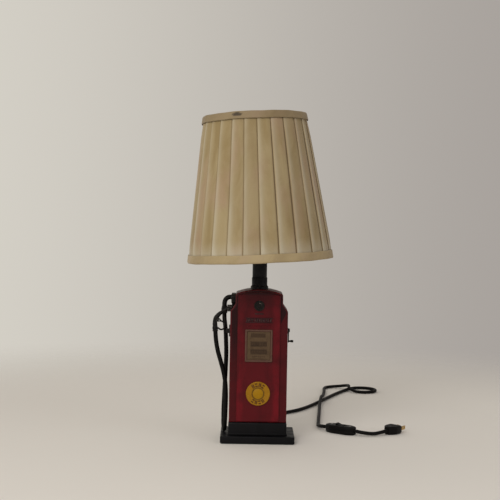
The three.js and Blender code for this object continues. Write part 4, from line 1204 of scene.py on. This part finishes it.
def add_cabinet():
    low, high = span("cabinet_shell")
    outline = cabinet_outline(CABINET["bottom"])
    body = block("pump_cabinet", outline, edge_profile(low.y, high.y, 2.2, 5, 2.2), facing_front)
    grooves = []
    for x in (-1, 1):
        for y in (-16, 16):
            cutter = [[(x * CABINET["side"] + r * c, y + r * s, z) for c, s in circle(1, 16)]
                      for z, r in [(44, 0.05), (45, 0.8), (47, 1.1), (193, 1.1), (195, 0.8), (196, 0.05)]]
            grooves.append(skin("groove", cutter))
    body = cut_away(body, *grooves)
    dress(body, "red_paint", "cabinet_shell")

    low, high = span("rear_cover")

    def cover_outline(inset):
        return cabinet_outline(34 - 1.5)(inset + 1.5)

    cover = block("service_cover", cover_outline, edge_profile(low.y, high.y, 0.8, 4, 0.1), facing_front)
    vents = []
    for i in range(6):
        outline = rounded_rectangle(34, 2.6, 1.25, 4)
        z = 128 + i * 7

        def lift(u, v, height, z=z):
            return Vector((u, height, z + v))

        vents.append(block("vent", outline, [(0, high.y - 1.2), (0, high.y + 2)], lift))
    dress(cut_away(cover, *vents), "red_paint", "rear_cover")
    for index in range(4):
        node = f"cover_screw_{index + 1}"
        centre = middle(node)
        back = span(node)[1].y
        profile = [(0, back - 4), (3.0, back - 2), (3.1, back - 1.2), (2.7, back - 0.5)]
        profile += [(1.7, back - 0.05), (0, back)]
        head = turned(f"screw_{index + 1}", profile, (centre.x, 0, centre.z), (0, 1, 0), 28)
        turn = math.radians(20 + 40 * index)
        slots = []
        for extra in (0, math.pi / 2):
            outline = rounded_rectangle(3.4, 0.6, 0.1, 1)

            def lift(u, v, height, a=turn + extra, c=centre):
                across, along = math.cos(a), math.sin(a)
                return Vector((c.x + u * across - v * along, height, c.z + u * along + v * across))

            slots.append(block("slot", outline, [(0, back - 0.9), (0, back + 1)], lift))
        dress(cut_away(head, *slots), "steel", node)


def panel_outline(inset):
    """The raised front panel: straight sides and a domed top."""
    half, foot = 33.5 - inset, 34 + inset
    dome = 3.5 + inset
    right = [(half - 1.2, foot), (half - 0.3, foot + 0.3), (half, foot + 1.2)]
    edge = half - 1.0
    top = dome_height(edge, dome)
    right += [(half, top - 3.2), (half - 0.25, top - 1.2), (edge - 0.6, top + 0.1)]
    steps = 12
    across = [edge * (1 - i / steps) for i in range(1, steps)]
    right += [(x, dome_height(x, dome)) for x in across]
    left = [(-x, z) for x, z in reversed(right)]
    return right + [(0, dome_height(0, dome))] + left


def add_front_panel():
    low, high = span("front_panel")
    profile = [(0, high.y), (0, low.y + 1.0), (0.25, low.y + 0.4), (0.8, low.y)]
    panel = block("front_skin", panel_outline, profile, facing_front)
    dress(panel, "red_paint", "front_panel")


def front_block(name, outline, centre, back, depth, radius=0.4):
    """A plate on the pump's front, standing forward from back by depth, with softened front edges."""
    x0, z0 = centre
    profile = [(0, back)]
    for i in range(4):
        angle = i / 3 * math.pi / 2
        profile.append((radius * (1 - math.cos(angle)), back - depth + radius * (1 - math.sin(angle))))

    def lift(x, z, y):
        return Vector((x0 + x, y, z0 + z))

    return block(name, outline, profile, lift)


def add_price_window():
    low, high = span("price_bezel")
    width, height = high.x - low.x, high.z - low.z
    centre = ((low.x + high.x) / 2, (low.z + high.z) / 2)
    outline = rounded_rectangle(width, height, 1.4)
    back, front = high.y, low.y
    profile = [(0, back), (0, front + 0.9), (0.4, front + 0.3), (0.9, front + 0.05), (2.2, front)]
    profile += [(2.7, front + 0.3), (3.0, front + 0.9), (3.2, front + 1.2), (3.2, back)]
    loops = [[Vector((centre[0] + x, y, centre[1] + z)) for x, z in outline(inset)] for inset, y in profile]
    dress(skin("window_bezel", loops, closed=True), "bezel", "price_bezel", slot="cream_plate")

    low, high = span("price_plate")
    outline = rounded_rectangle(high.x - low.x, high.z - low.z, 0.5)
    card = front_block("window_card", outline, centre, high.y, 1.0, 0.15)
    dress(card, "cream_plate", "price_plate")

    face = low.y

    def mark(x, z, w, h, deep=0.22, corner=0.2):
        outline = rounded_rectangle(w, h, min(w, h) * corner, 3)
        return front_block("mark", outline, (centre[0] + x, centre[1] + z), face + 0.05, deep, 0.06)

    lines = [mark(-1.1, 16.2, 22.5, 6.4, 0.12, 0.1), mark(0, -20.4, 27, 0.8)]
    for z in (2.6, -9.2):
        lines += [mark(0, z + 4.1, 27, 0.6), mark(0, z - 4.1, 27, 0.6)]
    for i in range(7):
        lines.append(mark(-9 + i * 3, -16.6, 1.4, 1.7 if i % 3 else 2.2, 0.16))
    dress(joined("window_marks", *lines), "window_line", slot="cream_plate")
    strips = [mark(0, z, 25.4, 6.4, 0.16, 0.12) for z in (2.6, -9.2)]
    dress(joined("window_strips", *strips), "window_strip", slot="cream_plate")
    figures = []
    for z in (2.6, -9.2):
        for i in range(6):
            figures.append(mark(-10 + i * 4, z, 2.6, 4.2 if i % 2 else 3.4, 0.26))
    for i in range(5):
        figures.append(mark(-9.3 + i * 4.1, 16.2, 2.4, 3.6 if i % 2 else 2.8, 0.3))
    dress(joined("window_figures", *figures), "window_line", slot="cream_plate")
    # A thin bead on the panel above the window.
    panel_front = span("front_panel")[0].y
    outline = rounded_rectangle(37, 1.3, 0.6, 4)
    bead = front_block("window_bead", outline, (0, 183.4), panel_front + 0.3, 0.95, 0.45)
    dress(bead, "red_paint")


def add_name_bar():
    """A row of raised slanted bars between two thin lines, in place of any lettering."""
    low, high = span("name_bar")
    z0 = (low.z + high.z) / 2
    parts = []
    for z in (-3.35, 3.35):
        outline = rounded_rectangle(42.6, 0.7, 0.3, 2)
        parts.append(front_block("line", outline, (0, z0 + z), high.y, 0.9, 0.2))
    rng = random.Random(4)
    x = -19.6
    while x < 19:
        wide = rng.choice((1.7, 2.2, 2.8))
        tall = rng.choice((4.2, 4.6, 4.9))

        def outline(inset, x=x, wide=wide, tall=tall):
            h, lean = tall / 2 - inset, 0.22
            points = [(x + inset, -h), (x + wide - inset, -h), (x + wide - inset, h), (x + inset, h)]
            return [(px + pz * lean, pz) for px, pz in points]

        def lift(px, pz, y):
            return Vector((px, y, z0 + pz))

        parts.append(block("bar", outline, [(0, high.y), (0, low.y + 0.35), (0.3, low.y)], lift))
        x += wide + rng.choice((0.9, 1.1, 1.8))
    dress(joined("raised_bars", *parts), "bar_paint", "name_bar")
    outline = rounded_rectangle(14, 1.5, 0.7, 4)
    dash = front_block("badge_dash", outline, (0, 202.5), high.y, 0.8, 0.35)
    dress(dash, "bar_paint")


def add_badges():
    centre = middle("upper_badge")
    high = span("upper_badge")[1]
    profile = [(0, 0), (8, 0), (8, 1.2), (7.6, 1.75), (6.9, 1.9), (6.3, 1.55), (6.0, 1.3), (0, 1.25)]
    badge = turned("round_badge", profile, (0, high.y, centre.z), (0, -1, 0), 56)
    dress(badge, "dark_metal", "upper_badge")

    def drop(inset):
        points = []
        for i in range(28):
            angle = TAU * i / 28 + math.pi / 2
            reach = 2.75 - inset
            x = reach * math.cos(angle)
            z = reach * math.sin(angle) - 1.1
            lift = max(0.0, math.sin(angle)) ** 5
            points.append((x * (1 - 0.85 * lift), z + 2.6 * lift))
        return points

    emblem = front_block("drop_emblem", drop, (0, centre.z), high.y - 1.3, 1.4, 0.9)
    dress(emblem, "dark_metal", "badge_drop")
    stud = turned("badge_stud", [(0, 0), (0.85, 0), (0.8, 0.5), (0.5, 0.8), (0, 0.9)],
                  (0.9, high.y - 1.3, centre.z + 3.9), (0, -1, 0), 20)
    dress(stud, "steel")

    centre = middle("lower_badge")
    high = span("lower_badge")[1]
    profile = [(0, 0), (18.8, 0), (18.8, 1.0), (18.5, 1.5), (17.9, 1.8), (17.1, 1.62), (0, 1.62)]
    disc = turned("sign_disc", profile, (0, high.y, centre.z), (0, -1, 0), 80)
    dress(disc, "yellow_badge", "lower_badge")
    face = high.y - 1.62
    middle_disc = turned("sign_centre", [(0, -0.1), (8.05, -0.1), (8.05, 0.2), (7.9, 0.3), (0, 0.34)],
                         (0, face, centre.z), (0, -1, 0), 64)
    dress(middle_disc, "badge_centre", slot="yellow_badge")
    ring = [(8.2, -0.1), (8.2, 0.2), (8.4, 0.32), (9.7, 0.32), (9.9, 0.2), (9.9, -0.1)]
    rim = turned_ring("sign_ring", ring, 64, standing((0, face, centre.z), (0, -1, 0)))
    dress(rim, "badge_line", slot="bar_paint")
    parts = []
    for upper in (1, -1):
        for i in range(4):
            angle = upper * math.pi / 2 + math.radians((i - 1.5) * 23)
            spin = Matrix.Rotation(angle - math.pi / 2, 2)
            shapes = [(0, 0.2, 3.9, 1.9), (0, 4, 3.9, 1.9)]
            if i % 2:
                shapes = [(-1.1, 2.1, 1.5, 5.6), (1.1, 2.1, 1.5, 5.6)]
            for u, v, w, h in shapes:
                outline = rounded_rectangle(w, h, 0.35, 2)

                def lift(x, z, y, u=u, v=v, spin=spin):
                    flat = spin @ Vector((u + x, 11.5 + v + z))
                    return Vector((flat.x, y, centre.z + flat.y))

                profile = [(0, face + 0.1), (0, face - 0.2), (0.1, face - 0.28)]
                parts.append(block("mark", outline, profile, lift))
    dress(joined("sign_marks", *parts), "badge_mark", slot="bar_paint")


# ---------- neck, crank, hose side ----------


def add_neck():
    flange = [(5.2, 238.4), (14, 238.2), (14, 242.6), (13.8, 243.4), (13.1, 244.2), (12.5, 244.8)]
    flange += [(12.25, 245.6)]
    flange += [(12.25, 256.8), (12.0, 257.4), (11.6, 257.7), (5.2, 257.7)]
    body = turned_ring("neck_foot", flange, 64)
    dress(body, "black_paint", "neck_flange")
    low, high = span("neck_tube")
    pipe = [(9.6, low.z), (11.3, low.z), (11.5, low.z + 0.3), (11.5, high.z - 0.8), (11.1, high.z - 0.1)]
    pipe += [(9.6, high.z)]
    dress(turned_ring("neck_column", pipe, 64), "black_paint", "neck_tube")
    dress_cad("brass", "lamp_pipe", "pipe_nut", "saddle_nut", "harp_saddle")
    dress_cad("cord_jacket", "inner_lead")
    dress_cad("steel", "base_screw_left", "base_screw_right", "crank_shaft", "trigger_pin")


def add_crank():
    z = JOINTS["crank_turn"]["pos_m"][2] / MM
    low, high = span("crank_bush")
    bush = [(2.62, low.x), (4.1, low.x), (4.1, 45.2), (5.5, 45.2), (5.6, 45.4), (5.6, high.x - 0.2)]
    bush += [(5.3, high.x)]
    bush.append((2.62, high.x))
    dress(turned_ring("crank_collar", bush, 40, standing((0, 0, z), (1, 0, 0))), "dark_metal", "crank_bush")
    grip_low, grip_high = span("crank_grip")
    grip_z = (grip_low.z + grip_high.z) / 2

    def outline(inset):
        hub, tip = 3.6 - inset, 2.2 - inset
        points = [(hub * math.cos(a), z + hub * math.sin(a)) for a in np.linspace(-0.1, math.pi + 0.1, 14)]
        turn = np.linspace(math.pi + 0.1, TAU - 0.1, 12)
        return points + [(tip * math.cos(a), grip_z + tip * math.sin(a)) for a in turn]

    low, high = span("crank_arm")
    profile = edge_profile(low.x, high.x, 0.5, 3)
    arm = block("crank_lever", outline, profile, lambda across, up, x: Vector((x, across, up)))
    dress(arm, "dark_metal", "crank_arm", body="crank")
    boss = [(0, high.x - 1), (2.9, high.x - 0.1), (2.9, high.x + 0.6), (2.3, high.x + 1.2)]
    boss += [(0, high.x + 1.5)]
    cap = turned("crank_cap", boss, (0, 0, z), (1, 0, 0), 28)
    dress(cap, "dark_metal", body="crank")
    root, tip = grip_low.x, grip_high.x
    grip = [(0, root), (1.1, root), (1.1, high.x + 0.2), (1.45, high.x + 0.4), (1.3, high.x + 1.2)]
    grip += [(1.5, tip - 5)]
    grip += [(1.95, tip - 3), (2.0, tip - 1.8), (1.6, tip - 0.5), (0.9, tip - 0.05), (0, tip)]
    knob = turned("crank_knob", grip, (0, 0, grip_z), (1, 0, 0), 28)
    dress(knob, "dark_metal", "crank_grip", body="crank")


def add_outlet():
    low, high = span("outlet_boss")
    centre_z = (low.z + high.z) / 2
    outline = rounded_rectangle(high.y - low.y, high.z - low.z, 4)
    profile = edge_profile(-high.x, -low.x, 1.6, 4, 0.1)
    boss = block("outlet_mount", outline, profile, lambda y, z, x: Vector((-x, y, centre_z + z)))
    dress(boss, "dark_metal", "outlet_boss")
    web = [(-37.1, 217.6), (-43.2, 217.6), (-43.2, 208.7), (-37.1, 217)]
    profile = [(0, -9.4), (0, 18)]
    wedge = block("outlet_web", lambda inset: web, profile, facing_front)
    dress(wedge, "dark_metal")
    bend = [(-43, 14, 224.6), (-44.9, 14, 224.6), (-49.2, 14, 224.1), (-53.2, 14, 221)]
    bend += [(-55.1, 14, 215.5), (-55.2, 14, 209)]
    pipe = tube("outlet_pipe", smooth_path(bend, 1.2), lambda t: 4.6 if t < 0.09 else 3.8, 24)
    dress(pipe, "dark_metal", "outlet_elbow")
    nut = [(3.9, 210.4), (4.4, 210), (4.4, 207.6), (5.0, 207), (5.0, 203.4), (4.5, 202.8)]
    nut += [(4.5, 201.4), (4.7, 201), (4.7, 199.6), (4.1, 198.6), (3.4, 198.6)]
    coupling = turned("hose_union", nut, (-55.2, 14, 0), count=6, smooth_angle=20)
    dress(coupling, "dark_metal", "hose_coupling")


def add_nozzle():
    y = -14
    spine = [(-68.95, 181.4), (-69.2, 185), (-68.9, 189.5), (-67, 194.2), (-63, 199.3), (-57.2, 203.9)]
    spine += [(-52, 207.3), (-43.8, 212.5)]
    body_line = smooth_path([(x, y, z) for x, z in spine], 1.2)

    def radius(t):
        steps = [(0, 3.6), (0.05, 3.9), (0.12, 3.5), (0.2, 3.5), (0.3, 3.9), (0.42, 3.4), (0.52, 3.1)]
        steps += [(0.6, 2.5)]
        steps += [(0.64, 2.2), (1, 2.1)]
        for (t0, r0), (t1, r1) in zip(steps, steps[1:]):
            if t <= t1:
                s = (t - t0) / (t1 - t0)
                return r0 + (r1 - r0) * s * s * (3 - 2 * s)
        return 2.1

    body = tube("nozzle_casting", body_line, radius, 24)
    dress(body, "dark_metal", "nozzle_body", body="nozzle")
    lugs = []
    for side in (-1, 1):
        def outline(inset):
            right = -60.4 - inset
            points = [(-67.5, 187.4 + inset), (-61.6, 188.0 + inset), (right, 189.4), (right, 191.6)]
            return points + [(-61.6 - inset, 192.6 - inset), (-66, 195.2 - inset)]

        near, far = y + side * 2.0, y + side * 3.3
        profile = [(0, near), (0, far - side * 0.3), (0.3, far)]
        lugs.append(block("lug", outline, profile, facing_front))
    dress(joined("trigger_lugs", *lugs), "dark_metal", body="nozzle")
    guard = [(-57.4, 200.4), (-56.1, 198.7), (-54.2, 195.2), (-53.4, 190), (-53.4, 183), (-54.8, 177.6)]
    guard += [(-58.4, 175.3), (-61.6, 176), (-64.6, 178.2)]
    rod = tube("trigger_guard", smooth_path([(x, y, z) for x, z in guard], 1.2), 1.3, 14)
    dress(rod, "dark_metal", "nozzle_guard", body="nozzle")
    ferrule = [(3.2, 0), (4.2, 0.2), (4.4, 0.8), (4.4, 2), (4.0, 2.5), (4.0, 3.4), (4.4, 3.9)]
    ferrule += [(4.4, 6.4), (4.1, 7), (3.7, 9.2)]
    base = (-68.4, y, 172.5)
    sleeve = turned("hose_crimp", ferrule, base, (-0.06, 0, 1), 32)
    dress(sleeve, "dark_metal", "hose_ferrule", body="nozzle")

    px, _, pz = (Vector(JOINTS["trigger_squeeze"]["pos_m"]) / MM)

    def lever_outline(inset):
        r = 1.9 - inset
        turn = np.linspace(math.pi / 2, 1.5 * math.pi, 10)
        points = [(px + r * math.cos(a), pz + r * math.sin(a)) for a in turn]
        points += [(-58.5, 187.1 + inset), (-56.4, 186.3 + inset), (-55.4 - inset, 187)]
        return points + [(-55.6 - inset, 188.2), (-58.6, 189.6 - inset)]

    lever = block("trigger_lever", lever_outline, edge_profile(y - 1.6, y + 1.6, 0.4, 3), facing_front)
    dress(lever, "dark_metal", "nozzle_trigger", body="trigger")

    yoke_low = span("spout_yoke")[0]
    slot = [(-4, 0), (-4, 10.1), (-3.6, 10.1), (-2.6, 10.1), (-2.6, 1.3), (2.6, 1.3), (2.6, 10.1)]
    slot += [(3.6, 10.1), (4, 10.1), (4, 0)]
    loops = []
    for inset, x in [(0.25, yoke_low.x), (0, yoke_low.x + 0.4), (0, -42.6), (0.2, -42.0)]:
        shrink = 1 - inset * 0.05
        loops.append([Vector((x, y + u * shrink, yoke_low.z + v + inset * 0.3)) for u, v in slot])
    dress(skin("spout_cradle", loops), "dark_metal", "spout_yoke")

    low, high = span("guard_bracket")
    plate = block("plate", rounded_rectangle(12, high.z - low.z, 2), edge_profile(45.2, 46.8, 0.5, 3, 0.1),
                  lambda v, z, x: Vector((-x, y + v, (low.z + high.z) / 2 + z)))
    prong = block("prong", rounded_rectangle(8, 7, 1.4), edge_profile(46, 51.6, 1.0, 3, 0.1),
                  lambda v, z, x: Vector((-x, y + v, 173.5 + z)))
    dress(joined("guard_rest", plate, prong), "dark_metal", "guard_bracket")


# ---------- floor and light ----------


def add_floor():
    """Paper sweep: a wide disc that fades out into the backdrop's colour."""
    rings = [[(r * c, r * s, 0) for c, s in circle(1, 96)] for r in (5, 300, 700, 1100, 1500)]
    points = [p for ring in rings for p in ring]
    faces = [tuple(range(96))]
    for i in range(len(rings) - 1):
        for j in range(96):
            k = (j + 1) % 96
            faces.append((i * 96 + j, (i + 1) * 96 + j, (i + 1) * 96 + k, i * 96 + k))
    paper = mesh_object("floor", points, faces)
    finish = Finish("floor_paper", Roughness=0.85, Specular_IOR_Level=0.2)
    finish.colour(finish.mix(finish.noise(3, 3), (0.84, 0.81, 0.77), (0.81, 0.78, 0.74)))
    reach = finish.node("ShaderNodeVectorMath", operation="LENGTH")
    finish.link(finish.place, reach.inputs[0])
    finish.link(finish.ramp(reach.outputs["Value"], 0.5, 1.35, 1, 0), finish.shader.inputs["Alpha"])
    paper.data.materials.append(finish.material)


def add_light(name, place, target, size, power, colour):
    data = bpy.data.lights.new(name, "AREA")
    data.shape = "DISK"
    data.size = size
    data.energy = power
    data.color = colour
    light = bpy.data.objects.new(name, data)
    bpy.context.scene.collection.objects.link(light)
    light.location = place
    light.rotation_euler = (Vector(target) - Vector(place)).to_track_quat("-Z", "Y").to_euler()


def add_world():
    """A pale backdrop, lighter on the left of the lamp than on its right."""
    world = bpy.data.worlds.new("studio")
    bpy.context.scene.world = world
    world.use_nodes = True
    tree = world.node_tree
    background = tree.nodes["Background"]
    background.inputs["Strength"].default_value = 1.0
    direction = tree.nodes.new("ShaderNodeTexCoord")
    parts = tree.nodes.new("ShaderNodeSeparateXYZ")
    tree.links.new(direction.outputs["Generated"], parts.inputs["Vector"])
    side = tree.nodes.new("ShaderNodeMapRange")
    side.interpolation_type = "SMOOTHSTEP"
    side.inputs["From Min"].default_value = -0.34
    side.inputs["From Max"].default_value = 0.3
    tree.links.new(parts.outputs["X"], side.inputs["Value"])
    tones = tree.nodes.new("ShaderNodeMix")
    tones.data_type = "RGBA"
    tones.inputs[6].default_value = (0.67, 0.64, 0.575, 1)
    tones.inputs[7].default_value = (0.385, 0.355, 0.33, 1)
    tree.links.new(side.outputs["Result"], tones.inputs[0])
    tree.links.new(tones.outputs[2], background.inputs["Color"])


def add_stage():
    add_floor()
    add_world()
    add_light("key", (-0.9, -1.9, 1.5), (0, 0, 0.25), 1.2, 19, (1, 0.975, 0.94))
    add_light("fill", (1.8, -1.2, 1.0), (0, 0, 0.25), 1.6, 5, (0.95, 0.97, 1))
    bpy.context.scene.view_settings.view_transform = "Standard"


add_camera()
make_finishes()
relief = add_strain_relief()
strap = add_tie()
switch_pieces = add_switch()
plug_pieces = add_plug()
add_cord()
add_hose()
add_shade_cloth()
add_shade_tapes()
add_lining()
add_shade_frame()
add_finial()
add_harp()
add_socket_and_bulb()
add_base()
add_cabinet()
add_front_panel()
add_price_window()
add_name_bar()
add_badges()
add_neck()
add_crank()
add_outlet()
add_nozzle()
add_stage()
